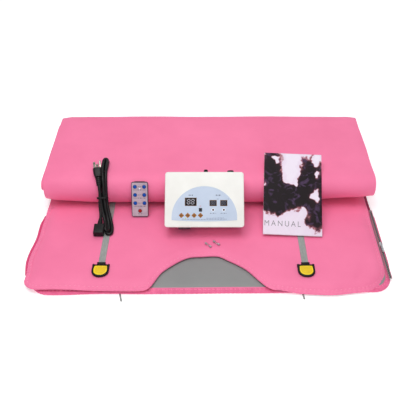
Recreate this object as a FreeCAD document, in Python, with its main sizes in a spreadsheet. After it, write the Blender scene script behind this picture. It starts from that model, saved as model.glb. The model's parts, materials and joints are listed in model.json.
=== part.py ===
import FreeCAD, Part
import math
import os
import Sketcher
from FreeCAD import Placement, Rotation, Vector

# An infrared sauna blanket, part rolled, head end towards -Y, with its controller, remote,
# power lead, booklet and spare fuses on it.  Origin: centre of the footprint, on the floor.

doc = FreeCAD.newDocument("SaunaBlanket")
sheet = doc.addObject("Spreadsheet::Sheet", "Sizes")

sizes = {
    # the two quilted panels, one on the other
    "lowerWidth": 800, "upperWidth": 782, "cornerRound": 45, "hemWidth": 8,
    "coverThick": 1.5, "foamThick": 5.5, "filmThick": 0.8, "liningThick": 1.7,
    "panelGap": 1.0, "filmInset": 60,
    # the part that lies flat, and the roll
    "flatLength": 304, "rollSpan": 236, "lapGap": 0.3, "rollWidth": 804, "tailShort": 12,
    # the head flap and its neck cut-out
    "flapFold": 107, "flapSetback": 4, "flapGap": 0.3,
    "neckDepth": 87, "neckTop": 56, "neckMouth": 260,
    # webbing, pulls, tails
    "webWidth": 15, "webThick": 1.2, "leftStrapX": -237, "rightStrapX": 216.5, "strapEnd": 4,
    "pullWidth": 38, "pullLength": 36, "pullThick": 4.5, "pullRim": 4.2, "pullBar": 4.4,
    "insertThick": 3.2, "pullY": -227, "pullLift": 1.2, "keeperWidth": 19, "keeperLong": 6,
    "keeperHigh": 3.6, "keeperGap": 1.4,
    "tailWidth": 5, "tailLength": 16, "leftTailX": -192, "rightTailX": 204,
    # side fold and zip
    "foldWidth": 7.4, "foldHigh": 5, "zipWidth": 8, "zipThick": 0.8, "zipPitch": 6,
    "toothWide": 4, "toothLong": 3, "toothHigh": 1.6, "sliderLong": 14, "sliderHigh": 4.2,
    "sliderY": -150, "tabWide": 6, "tabLong": 24, "tabThick": 1.2, "tabRise": 0.9,
    # the controller, in its own frame: X across, Y up its face, Z out of its face
    "controlWidth": 184, "controlHigh": 132, "controlDeep": 44, "baseDeep": 26,
    "controlRound": 7, "controlWall": 2.5, "edgeRound": 2.5, "controlFoot": 110, "controlX": -8.3,
    "overlayRadius": 75.5, "overlayThick": 0.8, "overlayFoot": 15, "overlayHigh": 82,
    "timeWide": 27, "timeHigh": 19, "timeX": -31.6, "timeY": 60,
    "heatWide": 15.5, "heatHigh": 13.2, "heatX": 32.4, "heatStep": 12.3, "heatY": 57,
    "keySide": 7.9, "keyProud": 0.7, "keyTravel": 0.5, "keyY": 28, "keyX": -31, "keyStep": 14.7,
    "keyGap": 0.35, "lampRadius": 2.3, "lampY": 41, "eyeWide": 7.6, "eyeHigh": 8.5, "eyeX": -9,
    "capRadius": 5.2, "capProud": 12.3, "capX": 3.2, "socketRadius": 8.3, "socketProud": 9.2,
    "socketX": 61.7, "inletWide": 27.4, "inletHigh": 20, "inletX": -50, "inletDeep": 22,
    # the remote, same kind of frame
    "remoteWidth": 40, "remoteHigh": 85, "remoteThick": 6.5, "remoteBack": 4.5,
    "remoteRound": 4, "remoteWall": 1.0, "remoteFoot": 58, "remoteX": -163.7,
    "buttonRadius": 4.0, "buttonProud": 0.8, "buttonTravel": 0.6, "buttonGap": 0.3,
    "buttonX": 11, "buttonLow": 33.5, "buttonStep": 20, "powerY": 14.5,
    "trayWide": 24, "trayLong": 25, "trayThick": 2.2, "cellRadius": 10, "cellThick": 1.5,
    # the booklet
    "bookWidth": 138, "bookHigh": 205, "leafThick": 0.4, "pagesThick": 2.6,
    "bookFoot": 133, "bookX": 196.9, "bookTurn": -2.6,
    # the power lead's hank, plug and connector
    "cordThick": 7, "hankThick": 15, "hankX": -254, "hankLow": -132, "hankHigh": 60,
    "neckLong": 22, "plugLong": 24, "plugWide": 22, "plugHigh": 19, "plugTurn": 65,
    "plugSlope": 25, "plugBelow": 3, "connectorLong": 27,
    # spare glass fuses
    "fuseRadius": 2.6, "fuseLong": 20, "fuseRestGap": 0.2,
    # clearance between a thing and what it lies on
    "restGap": 0.3,
}

for row, (name, value) in enumerate(sizes.items(), start=1):
    sheet.set(f"A{row}", name)
    sheet.set(f"B{row}", str(value))
    sheet.setAlias(f"B{row}", name)
doc.recompute()


def size(name):
    return float(sheet.get(name))


def bind(item, **sizesOf):
    for prop, expression in sizesOf.items():
        item.setExpression(prop, expression)


def ref(name):
    return f"Sizes.{name}"


nodes = {}


def keep(label, item):
    item.Label = label
    nodes[label] = item
    return item


# ---- levels and places worked out from the sheet ----

panelThick = size("coverThick") + size("foamThick") + size("filmThick") + size("liningThick")
stackThick = 2 * panelThick + size("panelGap")
pitch = stackThick + size("lapGap")
rollHigh = 4 * pitch + stackThick
backHigh = rollHigh / 2
backRadius = rollHigh / 2
noseHigh = (rollHigh + pitch) / 2
noseRadius = (rollHigh - pitch) / 2
depth = size("flatLength") + size("rollSpan") + backRadius
frontY = -depth / 2
noseY = frontY + size("flatLength")
backY = noseY + size("rollSpan")
foldY = frontY + size("flapFold")
flapFrontY = frontY + size("flapSetback")
upperEdge = size("upperWidth") / 2
lowerEdge = size("lowerWidth") / 2

world = Placement()


def at(x, y, z, frame=world):
    return frame.multiply(Placement(Vector(x, y, z), Rotation()))


# ---- small makers ----

def box(label, length, width, height, place):
    item = doc.addObject("Part::Box", label)
    bind(item, Length=length, Width=width, Height=height)
    item.Placement = place
    return item


def cylinder(label, radius, height, place):
    item = doc.addObject("Part::Cylinder", label)
    bind(item, Radius=radius, Height=height)
    item.Placement = place
    return item


def cut(label, base, tool):
    item = doc.addObject("Part::Cut", label)
    item.Base = base
    item.Tool = tool
    return item


def fuse(label, *pieces):
    item = doc.addObject("Part::MultiFuse", label)
    item.Shapes = list(pieces)
    return item


def group(label, pieces):
    item = doc.addObject("Part::Compound", label)
    item.Links = pieces
    return item


def formed(label, shape):
    item = doc.addObject("Part::Feature", label)
    item.Shape = shape
    return item


def newBody(label, place):
    body = doc.addObject("PartDesign::Body", label)
    body.Placement = place
    return body


def sketchOn(body, name, height):
    sketch = body.newObject("Sketcher::SketchObject", name)
    plane = next(f for f in body.Origin.OriginFeatures if f.Role == "XY_Plane")
    sketch.AttachmentSupport = (plane, [""])
    sketch.MapMode = "FlatFace"
    sketch.setExpression("AttachmentOffset.Base.z", height)
    return sketch


def line(sketch, start, end):
    return sketch.addGeometry(Part.LineSegment(Vector(*start, 0), Vector(*end, 0)))


def arc(sketch, start, middle, end):
    return sketch.addGeometry(Part.Arc(Vector(*start, 0), Vector(*middle, 0), Vector(*end, 0)))


def circle(sketch, x, y, radius):
    index = sketch.addGeometry(Part.Circle(Vector(x, y, 0), Vector(0, 0, 1), size(radius)))
    sketch.addConstraint(Sketcher.Constraint("Radius", index, size(radius)))
    sketch.setExpression(f"Constraints[{sketch.ConstraintCount - 1}]", ref(radius))


def cornerArc(sketch, x, y, radius, start):
    """Quarter circle about x, y, from the angle start, anticlockwise."""
    spots = [(x + radius * math.cos(start + k * math.pi / 4),
              y + radius * math.sin(start + k * math.pi / 4)) for k in range(3)]
    return arc(sketch, *spots)


def roundedRectangle(sketch, width, high, corner):
    """Rounded rectangle, full size width by high, its lower side's middle at the origin."""
    half, r = width / 2, corner
    line(sketch, (-half + r, 0), (half - r, 0))
    cornerArc(sketch, half - r, r, r, -math.pi / 2)
    line(sketch, (half, r), (half, high - r))
    cornerArc(sketch, half - r, high - r, r, 0)
    line(sketch, (half - r, high), (-half + r, high))
    cornerArc(sketch, -half + r, high - r, r, math.pi / 2)
    line(sketch, (-half, high - r), (-half, r))
    cornerArc(sketch, -half + r, r, r, math.pi)
    for side in range(8):
        follower = (side + 1) % 8
        sketch.addConstraint(Sketcher.Constraint("Coincident", side, 2, follower, 1))


def rectangle(sketch, x, y, width, high):
    spots = [(x - width / 2, y - high / 2), (x + width / 2, y - high / 2),
             (x + width / 2, y + high / 2), (x - width / 2, y + high / 2)]
    for k in range(4):
        line(sketch, spots[k], spots[(k + 1) % 4])


def diamond(sketch, x, y, side):
    reach = side / math.sqrt(2)
    spots = [(x, y - reach), (x + reach, y), (x, y + reach), (x - reach, y)]
    for k in range(4):
        line(sketch, spots[k], spots[(k + 1) % 4])


def pad(body, sketch, length):
    feature = body.newObject("PartDesign::Pad", sketch.Name + "Pad")
    feature.Profile = sketch
    feature.setExpression("Length", length)
    return feature


def pocket(body, sketch, length, upwards=False):
    """Cuts down from the sketch by length, or up from it."""
    feature = body.newObject("PartDesign::Pocket", sketch.Name + "Pocket")
    feature.Profile = sketch
    feature.setExpression("Length", length)
    feature.Reversed = upwards
    return feature


# ---- the roll: one flat spiral of the two panels ----

def spiralFace(outer, inner, startY):
    """Face in the YZ plane between two depths below the roll's outside skin."""
    def route(depthIn):
        edges = []

        def run(fromY, toY, z):
            if abs(fromY - toY) > 1e-6:
                edges.append(Part.LineSegment(Vector(0, fromY, z), Vector(0, toY, z)))

        def turn(y, z, radius, bulge, upFirst):
            low, high = Vector(0, y, z - radius), Vector(0, y, z + radius)
            ends = (low, high) if upFirst else (high, low)
            edges.append(Part.Arc(ends[0], Vector(0, y + bulge * radius, z), ends[1]))

        run(startY, backY, depthIn)
        turn(backY, backHigh, backRadius - depthIn, 1, True)
        run(backY, noseY, rollHigh - depthIn)
        turn(noseY, noseHigh, noseRadius - depthIn, -1, False)
        run(noseY, backY, pitch + depthIn)
        turn(backY, backHigh, backRadius - pitch - depthIn, 1, True)
        run(backY, noseY, rollHigh - pitch - depthIn)
        turn(noseY, noseHigh, noseRadius - pitch - depthIn, -1, False)
        run(noseY, backY - size("tailShort"), 2 * pitch + depthIn)
        return [edge.toShape() for edge in edges]

    out = route(outer)
    back = route(inner)
    ends = [Part.LineSegment(out[0].Vertexes[0].Point, back[0].Vertexes[0].Point).toShape(),
            Part.LineSegment(Vector(0, backY - size("tailShort"), 2 * pitch + outer),
                             Vector(0, backY - size("tailShort"), 2 * pitch + inner)).toShape()]
    wire = Part.Wire(Part.__sortEdges__(out + back + ends))
    return Part.Face(wire)


def spiral(label, outer, inner, startY, width):
    face = spiralFace(outer, inner, startY)
    face.translate(Vector(-width / 2, 0, 0))
    return formed(label, face.extrude(Vector(width, 0, 0)))


# depths below the outside skin of each layer's two faces, outside in
def layerDepths():
    names = ["coverThick", "foamThick", "filmThick", "liningThick"]
    depths, level = {}, 0.0
    for name in names:
        depths["lower_" + name] = (level, level + size(name))
        level += size(name)
    level += size("panelGap")
    for name in reversed(names):
        depths["upper_" + name] = (level, level + size(name))
        level += size(name)
    return depths


layers = layerDepths()


def makeLowerPanel():
    hem = size("hemWidth")
    body = newBody("LowerCover", at(0, frontY, 0))
    sketch = sketchOn(body, "LowerOutline", "0")
    outline(sketch, lowerEdge, backY - frontY, size("cornerRound"))
    pad(body, sketch, f"{ref('coverThick')}+{ref('foamThick')}+{ref('filmThick')}+{ref('liningThick')}")
    inner = sketchOn(body, "LowerInside", ref("coverThick"))
    outline(inner, lowerEdge - hem, backY - frontY, size("cornerRound") - hem, hem, over=5)
    pocket(body, inner, f"{ref('foamThick')}+{ref('filmThick')}+{ref('liningThick')}+1", True)
    keep("lower_cover", body)

    foam = newBody("LowerInsulation", at(0, frontY, 0))
    sketch = sketchOn(foam, "LowerFoamOutline", ref("coverThick"))
    outline(sketch, lowerEdge - hem, backY - frontY, size("cornerRound") - hem, hem)
    pad(foam, sketch, ref("foamThick"))
    keep("lower_insulation", foam)

    inset = size("filmInset")
    film = spiral("LowerFilm", *layers["lower_filmThick"], frontY + 2 * inset,
                  2 * (lowerEdge - inset))
    keep("lower_heating_film", film)
    flat = plateShape(lowerEdge - hem, frontY + hem, backY, size("cornerRound") - hem,
                      *layers["lower_liningThick"])
    wound = spiralFace(*layers["lower_liningThick"], noseY)
    wound.translate(Vector(hem - lowerEdge, 0, 0))
    lining = flat.fuse(wound.extrude(Vector(2 * (lowerEdge - hem), 0, 0))).removeSplitter()
    keep("lower_lining", formed("LowerLining", lining))


def outline(sketch, half, long, corner, inset=0.0, over=0.0):
    """Panel outline with two rounded front corners, from y = inset to y = long + over."""
    end = long + over
    line(sketch, (-half + corner, inset), (half - corner, inset))
    cornerArc(sketch, half - corner, inset + corner, corner, -math.pi / 2)
    line(sketch, (half, inset + corner), (half, end))
    line(sketch, (half, end), (-half, end))
    line(sketch, (-half, end), (-half, inset + corner))
    cornerArc(sketch, -half + corner, inset + corner, corner, math.pi)


def plateShape(half, nearY, farY, corner, low, high):
    """Flat sheet with rounded near corners, between the levels low and high."""
    plate = Part.makeBox(2 * half, farY - nearY, high - low, Vector(-half, nearY, low))
    edges = [e for e in plate.Edges
             if abs(e.BoundBox.ZLength - (high - low)) < 1e-6 and abs(e.BoundBox.YMin - nearY) < 1e-6]
    return plate.makeFillet(corner, edges)


def makeRolledPart():
    cover = spiral("RolledCover", *layers["lower_coverThick"], backY, size("rollWidth"))
    keep("rolled_lower_cover", cover)
    inner = 2 * (lowerEdge - size("hemWidth"))
    foam = spiral("RolledLowerFoam", *layers["lower_foamThick"], backY, inner)
    keep("rolled_lower_insulation", foam)
    upperFoam = spiral("RolledUpperFoam", *layers["upper_foamThick"], backY, 2 * upperEdge - 6)
    keep("rolled_upper_insulation", upperFoam)


def makeUpperPanel():
    keep("upper_cover", spiral("UpperCover", *layers["upper_coverThick"], foldY, 2 * upperEdge))
    keep("upper_lining", spiral("UpperLining", *layers["upper_liningThick"], foldY,
                                2 * upperEdge - 4))
    film = spiral("UpperFilm", *layers["upper_filmThick"], foldY + 20,
                  2 * (upperEdge - size("filmInset")))
    keep("upper_heating_film", film)
    low = layers["upper_foamThick"][0]
    foam = box("UpperInsulation", f"{ref('upperWidth')}-6", f"{backY - foldY}", ref("foamThick"),
               at(3 - upperEdge, foldY, low))
    keep("upper_insulation", foam)


def flapOutline(sketch, trim):
    """Head flap seen from above: rounded front corners and a bell-shaped neck cut-out."""
    half = upperEdge - trim
    front = flapFrontY + trim
    fold = foldY - size("flapGap")
    r = size("cornerRound") - trim
    mouth = size("neckMouth") / 2 + trim
    top = size("neckTop") / 2
    high = flapFrontY + size("neckDepth") + trim
    middle = ((mouth + top) / 2, (front + high) / 2)
    bow = bellBow(mouth - top, high - front)
    line(sketch, (-half + r, front), (-mouth, front))
    arc(sketch, (-mouth, front), (-(mouth - bow[0]), front + bow[1]), (-middle[0], middle[1]))
    arc(sketch, (-middle[0], middle[1]), (-(top + bow[0]), high - bow[1]), (-top, high))
    line(sketch, (-top, high), (top, high))
    arc(sketch, (top, high), (top + bow[0], high - bow[1]), middle)
    arc(sketch, middle, (mouth - bow[0], front + bow[1]), (mouth, front))
    line(sketch, (mouth, front), (half - r, front))
    cornerArc(sketch, half - r, front + r, r, -math.pi / 2)
    line(sketch, (half, front + r), (half, fold))
    line(sketch, (half, fold), (-half, fold))
    line(sketch, (-half, fold), (-half, front + r))
    cornerArc(sketch, -half + r, front + r, r, math.pi)


def bellBow(run, rise):
    """Middle of the first of two equal arcs that join two level lines, run across, rise up."""
    lean = math.atan2(rise, run)
    radius = math.hypot(run, rise) / 4 / math.sin(lean)
    return radius * math.sin(lean), radius * (1 - math.cos(lean))


def makeHeadFlap():
    coverLow = layers["upper_coverThick"][0]
    foamLow = layers["upper_filmThick"][0]
    liningLow = layers["upper_liningThick"][0]
    for label, low, thick, trim in (
            ("flap_cover", coverLow, ref("coverThick"), 0),
            ("flap_insulation", foamLow, f"{ref('foamThick')}+{ref('filmThick')}", 3),
            ("flap_lining", liningLow, ref("liningThick"), 1.5)):
        body = newBody(label.title().replace("_", ""), world)
        sketch = sketchOn(body, label.title().replace("_", "") + "Outline", f"{low}")
        flapOutline(sketch, trim)
        pad(body, sketch, thick)
        keep(label, body)


def makeStraps():
    top = stackThick
    half = size("webWidth") / 2
    run = noseY - size("strapEnd") - 8 - foldY
    straps = [box(f"Strap{k}", ref("webWidth"), f"{run}", ref("webThick"),
                  at(size(x) - half, foldY, top)) for k, x in enumerate(("leftStrapX", "rightStrapX"))]
    keep("pull_straps", group("PullStraps", straps))
    near = size("pullY") + size("pullBar") / 2 + size("keeperGap")
    reach = foldY - size("flapGap") - near
    ends, keepers = [], []
    for k, x in enumerate(("leftStrapX", "rightStrapX")):
        ends.append(box(f"StrapEnd{k}", ref("webWidth"), f"{reach}", ref("webThick"),
                        at(size(x) - half, near, top)))
        keepers.append(box(f"Keeper{k}", ref("keeperWidth"), ref("keeperLong"), ref("keeperHigh"),
                           at(size(x) - size("keeperWidth") / 2, near, top + size("webThick"))))
    keep("strap_ends", group("StrapEnds", ends))
    keep("strap_keepers", group("StrapKeepers", keepers))


def pullOutline(sketch, half, long, bar):
    """D shape: flat bar side at y = bar, round side at y = bar - long."""
    low = bar - long + half
    line(sketch, (half, low), (half, bar))
    line(sketch, (half, bar), (-half, bar))
    line(sketch, (-half, bar), (-half, low))
    arc(sketch, (-half, low), (0, low - half), (half, low))


def makePulls():
    rim = size("pullRim")
    bar = size("pullBar")
    level = stackThick + size("pullLift")
    for side, x in (("left", "leftStrapX"), ("right", "rightStrapX")):
        place = at(size(x), size("pullY"), level)
        frame = newBody(side.title() + "PullFrame", place)
        sketch = sketchOn(frame, side.title() + "PullOutline", "0")
        pullOutline(sketch, size("pullWidth") / 2, size("pullLength"), bar / 2)
        pad(frame, sketch, ref("pullThick"))
        hole = sketchOn(frame, side.title() + "PullHole", ref("pullThick"))
        pullOutline(hole, size("pullWidth") / 2 - rim, size("pullLength") - rim - bar, -bar / 2)
        pocket(frame, hole, ref("pullThick"))
        keep(f"{side}_pull_frame", frame)
        insert = newBody(side.title() + "PullInsert", place)
        sketch = sketchOn(insert, side.title() + "InsertOutline", "0.6")
        pullOutline(sketch, size("pullWidth") / 2 - rim, size("pullLength") - rim - bar, -bar / 2)
        pad(insert, sketch, ref("insertThick"))
        keep(f"{side}_pull_insert", insert)


def makeTails():
    tails = []
    for k, (x, long) in enumerate((("leftTailX", 1.0), ("rightTailX", 0.7))):
        length = size("tailLength") * long
        tails.append(box(f"Tail{k}", ref("tailWidth"), f"{ref('tailLength')}*{long}", ref("webThick"),
                         at(size(x) - size("tailWidth") / 2, frontY - length, 0.2)))
    keep("tie_tails", group("TieTails", tails))


def makeSideFold():
    near = frontY + size("cornerRound") + 8
    far = noseY - noseRadius - 4
    fold = doc.addObject("Part::Box", "SideFold")
    bind(fold, Length=ref("foldWidth"), Width=f"{far - near}", Height=ref("foldHigh"))
    fold.Placement = at(-lowerEdge + 1, near, panelThick + size("restGap"))
    soft = doc.addObject("Part::Fillet", "SideFoldSoft")
    soft.Base = fold
    doc.recompute()
    top = panelThick + size("restGap") + size("foldHigh")
    soft.Edges = [(index + 1, 2.0, 2.0) for index, edge in enumerate(fold.Shape.Edges)
                  if edge.BoundBox.YLength > 50 and edge.BoundBox.ZMin > top - 0.1]
    keep("side_fold", soft)


def makeZip():
    left = upperEdge + 0.8
    near = frontY + size("cornerRound") - 4
    far = noseY - noseRadius + 6
    low = panelThick + size("restGap")
    tape = box("ZipTape", ref("zipWidth"), f"{far - near}", ref("zipThick"), at(left, near, low))
    keep("zip_tape", tape)
    middle = left + size("zipWidth") / 2
    toothLow = low + size("zipThick")
    count = int((far - near - 4) / size("zipPitch"))
    teeth = [box(f"Tooth{k}", ref("toothWide"), ref("toothLong"), ref("toothHigh"),
                 at(middle - size("toothWide") / 2, near + 2 + k * size("zipPitch"), toothLow))
             for k in range(count)]
    keep("zip_teeth", group("ZipTeeth", teeth))

    start = size("sliderY") - size("sliderLong") / 2
    lift = toothLow + 0.2
    body = box("SliderBlock", ref("zipWidth"), ref("sliderLong"), ref("sliderHigh"),
               at(left, start, lift))
    channel = box("SliderChannel", f"{ref('toothWide')}+0.6", f"{ref('sliderLong')}+2",
                  f"{ref('toothHigh')}+0.2", at(middle - size("toothWide") / 2 - 0.3, start - 1, lift))
    keep("zip_slider", cut("ZipSlider", body, channel))
    pivotY = size("sliderY") - 4
    tabLow = lift + size("sliderHigh") + size("tabRise")
    tab = box("ZipTab", ref("tabWide"), ref("tabLong"), ref("tabThick"),
              at(middle - size("tabWide") / 2, pivotY - size("tabLong") + 1, tabLow))
    hole = cylinder("ZipTabHole", "1.8", "10", at(middle, pivotY - size("tabLong") + 6, tabLow - 1))
    keep("zip_pull", cut("ZipPull", tab, hole))


# ---- things that lean on the roll's nose ----

def leaning(foot, x, turn=0.0, under=0.0):
    """Frame whose XY plane stands on the flat part, foot mm before Y = 0, and touches the nose.
    Under is the thickness of the webbing that it stands on."""
    gap = size("restGap")
    dy = noseY + foot
    dz = noseHigh - stackThick - gap - under
    slope = math.atan2(dz, dy) + math.asin((noseRadius + gap) / math.hypot(dy, dz))
    rotation = Rotation(Vector(1, 0, 0), math.degrees(slope)).multiply(Rotation(Vector(0, 0, 1), turn))
    return Placement(Vector(x, -foot, stackThick + gap + under), rotation)


def report(name, frame, *spots):
    """Prints an axis and a few points of a leaning frame, for the joints."""
    axes = [frame.Rotation.multVec(Vector(*v)) for v in ((1, 0, 0), (0, 1, 0), (0, 0, 1))]
    print(name, [[round(c, 5) for c in a] for a in axes],
          [[round(c, 3) for c in frame.multVec(Vector(*spot))] for spot in spots])


def controlHoles(sketch, gap=0.0):
    """Windows through the lid for the displays, lamps, sensor eye and keys."""
    rectangle(sketch, size("timeX"), size("timeY"), size("timeWide"), size("timeHigh"))
    for side in (-1, 1):
        rectangle(sketch, size("heatX") + side * size("heatStep"), size("heatY"),
                  size("heatWide"), size("heatHigh"))
        circle(sketch, size("heatX") + side * size("heatStep"), size("lampY"), "lampRadius")
    rectangle(sketch, size("eyeX"), size("lampY"), size("eyeWide"), size("eyeHigh"))
    for k in range(4):
        diamond(sketch, keyPlace(k), size("keyY"), size("keySide") + 2 * gap)


def keyPlace(k):
    return size("keyX") + (k - 1.5) * size("keyStep")


def makeController():
    frame = leaning(size("controlFoot"), size("controlX"))
    wide, high, deep = size("controlWidth"), size("controlHigh"), size("controlDeep")
    wall, r = size("controlWall"), size("controlRound")
    report("controller", frame, (0, 0, 0), (size("capX"), high, 16))

    base = newBody("ControlBase", frame)
    sketch = sketchOn(base, "BaseOutline", "0")
    roundedRectangle(sketch, wide, high, r)
    pad(base, sketch, ref("baseDeep"))
    inside = sketchOn(base, "BaseInside", ref("controlWall"))
    roundedRectangle(inside, wide - 2 * wall, high - 2 * wall, r - wall)
    inside.setExpression("AttachmentOffset.Base.y", ref("controlWall"))
    pocket(base, inside, ref("baseDeep"), True)
    doc.recompute()
    shell = base
    level = 16.0
    tools = [portCutter("CapHole", "capRadius", "capX", frame, level),
             portCutter("SocketHole", "socketRadius", "socketX", frame, level),
             box("InletHole", ref("inletWide"), "10", ref("inletHigh"),
                 at(size("inletX") - size("inletWide") / 2, high - 5, level - 11, frame))]
    keep("controller_base", cut("ControlBaseCut", shell, fuse("BasePorts", *tools)))

    lid = newBody("ControlLid", frame)
    sketch = sketchOn(lid, "LidOutline", ref("baseDeep"))
    roundedRectangle(sketch, wide, high, r)
    lidPad = pad(lid, sketch, f"{ref('controlDeep')}-{ref('baseDeep')}")
    doc.recompute()
    rim = [f"Edge{i + 1}" for i, e in enumerate(lidPad.Shape.Edges)
           if e.BoundBox.ZMin > deep - 0.01 and e.BoundBox.ZLength < 0.01]
    soft = lid.newObject("PartDesign::Fillet", "LidEdge")
    soft.Base = (lidPad, rim)
    soft.setExpression("Radius", ref("edgeRound"))
    doc.recompute()
    inside = sketchOn(lid, "LidInside", f"{ref('controlDeep')}-{ref('controlWall')}")
    roundedRectangle(inside, wide - 2 * wall, high - 2 * wall, r - wall)
    inside.setExpression("AttachmentOffset.Base.y", ref("controlWall"))
    pocket(lid, inside, ref("controlDeep"))
    holes = sketchOn(lid, "LidHoles", f"{ref('controlDeep')}+1")
    controlHoles(holes, size("keyGap"))
    pocket(lid, holes, f"{ref('controlWall')}+3")
    keep("controller_lid", lid)

    overlay = newBody("PanelOverlay", frame)
    sketch = sketchOn(overlay, "OverlayOutline", f"{ref('controlDeep')}")
    overlayOutline(sketch)
    pad(overlay, sketch, ref("overlayThick"))
    holes = sketchOn(overlay, "OverlayHoles", f"{ref('controlDeep')}+2")
    controlHoles(holes, size("keyGap"))
    pocket(overlay, holes, "3")
    keep("panel_overlay", overlay)

    faceLow = deep - wall
    insideHigh = f"{ref('controlWall')}+{ref('overlayThick')}"
    shown = [box("TimeDisplay", ref("timeWide"), ref("timeHigh"), insideHigh,
                 at(size("timeX") - size("timeWide") / 2, size("timeY") - size("timeHigh") / 2,
                    faceLow, frame))]
    lamps = []
    for k, side in enumerate((-1, 1)):
        x = size("heatX") + side * size("heatStep")
        shown.append(box(f"HeatDisplay{k}", ref("heatWide"), ref("heatHigh"), insideHigh,
                         at(x - size("heatWide") / 2, size("heatY") - size("heatHigh") / 2,
                            faceLow, frame)))
        lamps.append(cylinder(f"Lamp{k}", ref("lampRadius"), f"{insideHigh}+0.4",
                              at(x, size("lampY"), faceLow, frame)))
    keep("number_displays", group("NumberDisplays", shown))
    keep("indicator_lamps", group("IndicatorLamps", lamps))
    eye = box("SensorEye", ref("eyeWide"), ref("eyeHigh"), insideHigh,
              at(size("eyeX") - size("eyeWide") / 2, size("lampY") - size("eyeHigh") / 2,
                 faceLow, frame))
    keep("remote_sensor_eye", eye)

    for k, name in enumerate(("power", "time", "heat", "mode")):
        key = newBody(f"Key{k}", frame)
        sketch = sketchOn(key, f"KeyOutline{k}", f"{ref('controlDeep')}-{ref('controlWall')}")
        diamond(sketch, keyPlace(k), size("keyY"), size("keySide"))
        pad(key, sketch, f"{ref('controlWall')}+{ref('overlayThick')}+{ref('keyProud')}")
        keep(f"{name}_key", key)
    report("keys", frame, *[(keyPlace(k), size("keyY"), deep) for k in range(4)])

    board = box("CircuitBoard", f"{ref('controlWidth')}-30", "70", "1.6",
                at(15 - wide / 2, 18, deep - 8, frame))
    parts = [board]
    for k, (x, y) in enumerate(((-60, 30), (-36, 60), (24, 30), (58, 60))):
        parts.append(box(f"Relay{k}", "19", "15.5", "15", at(x, y, deep - 23, frame)))
    keep("circuit_board", fuse("CircuitBoardSet", *parts))
    core = box("TransformerCore", "46", "38", "17", at(-70, 8, wall, frame))
    coil = box("TransformerCoil", "28", "50", "14", at(-61, 2.8, wall + 0.1, frame))
    keep("transformer", fuse("Transformer", core, coil))

    keep("fuse_cap", domed("FuseCap", "capRadius", "capProud", "capX", frame, level, 0.3))
    keep("output_socket", domed("OutputSocket", "socketRadius", "socketProud", "socketX", frame,
                                level, 0.0))
    makeInlet(frame, level)
    screws = []
    for k, (sx, sy) in enumerate(((-1, 0), (1, 0), (-1, 1), (1, 1))):
        x = sx * (wide / 2 - 12)
        y = 12 + sy * (high - 24)
        screws.append(cylinder(f"CaseScrew{k}", "2", "14", at(x, y, wall + 6, frame)))
    keep("case_screws", group("CaseScrews", screws))


def portCutter(label, radius, x, frame, level):
    place = at(size(x), size("controlHigh") - 6, level, frame)
    place = place.multiply(Placement(Vector(), Rotation(Vector(1, 0, 0), -90)))
    return cylinder(label, f"{ref(radius)}-1.2", "12", place)


def domed(label, radius, proud, x, frame, level, gap):
    """Round fitting on the controller's top wall: stem through the wall and a rounded head."""
    place = at(size(x), size("controlHigh"), level, frame)
    place = place.multiply(Placement(Vector(), Rotation(Vector(1, 0, 0), -90)))
    stem = cylinder(label + "Stem", f"{ref(radius)}-1.2-{gap + 0.05}", f"12+{gap + 0.1}",
                    place.multiply(Placement(Vector(0, 0, -12), Rotation())))
    head = cylinder(label + "Head", ref(radius), ref(proud),
                    place.multiply(Placement(Vector(0, 0, gap), Rotation())))
    soft = doc.addObject("Part::Fillet", label + "Soft")
    soft.Base = head
    doc.recompute()
    far = place.multVec(Vector(0, 0, gap + size(proud)))
    reach = min(size(proud), size(radius)) * 0.45
    soft.Edges = [(i + 1, reach, reach) for i, e in enumerate(head.Shape.Edges)
                  if e.BoundBox.Center.distanceToPoint(far) < 0.05]
    return fuse(label + "Whole", stem, soft)


def makeInlet(frame, level):
    """Mains inlet in the top wall: a socket with three flat pins."""
    x, high = size("inletX"), size("controlHigh")
    shell = box("InletShell", f"{ref('inletWide')}-0.4", ref("inletDeep"), f"{ref('inletHigh')}-0.4",
                at(x - size("inletWide") / 2 + 0.2, high - size("inletDeep"), level - 10.8, frame))
    mouth = box("InletMouth", f"{ref('inletWide')}-4", f"{ref('inletDeep')}-4",
                f"{ref('inletHigh')}-4",
                at(x - size("inletWide") / 2 + 2, high - size("inletDeep") + 4, level - 9, frame))
    pins = [box(f"InletPin{k}", "2", "14", "4", at(x - 1 + dx, high - 18.5, level - 3 + dz, frame))
            for k, (dx, dz) in enumerate(((-7, -3.5), (0, 1.5), (7, -3.5)))]
    keep("mains_inlet", fuse("MainsInlet", cut("InletSocket", shell, mouth), *pins))


def overlayOutline(sketch):
    """Half round with a slightly bowed lower edge."""
    half = size("overlayRadius")
    foot = size("overlayFoot")
    shoulder = foot + 8
    top = foot + size("overlayHigh")
    line(sketch, (half, foot + 2), (half, shoulder))
    diagonal = math.radians(52)
    arc(sketch, (half, shoulder),
        (half * math.cos(diagonal), shoulder + (top - shoulder) * math.sin(diagonal)), (0, top))
    arc(sketch, (0, top),
        (-half * math.cos(diagonal), shoulder + (top - shoulder) * math.sin(diagonal)),
        (-half, shoulder))
    line(sketch, (-half, shoulder), (-half, foot + 2))
    arc(sketch, (-half, foot + 2), (0, foot - 1), (half, foot + 2))


buttonNames = ("on_left", "on_right", "time_left", "time_right", "heat_left", "heat_right")


def buttonPlaces():
    places = {}
    for k, name in enumerate(buttonNames):
        rowUp = 2 - k // 2
        side = -1 if k % 2 == 0 else 1
        places[name] = (side * size("buttonX"), size("buttonLow") + rowUp * size("buttonStep"))
    places["stop"] = (0.0, size("powerY"))
    return places


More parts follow.
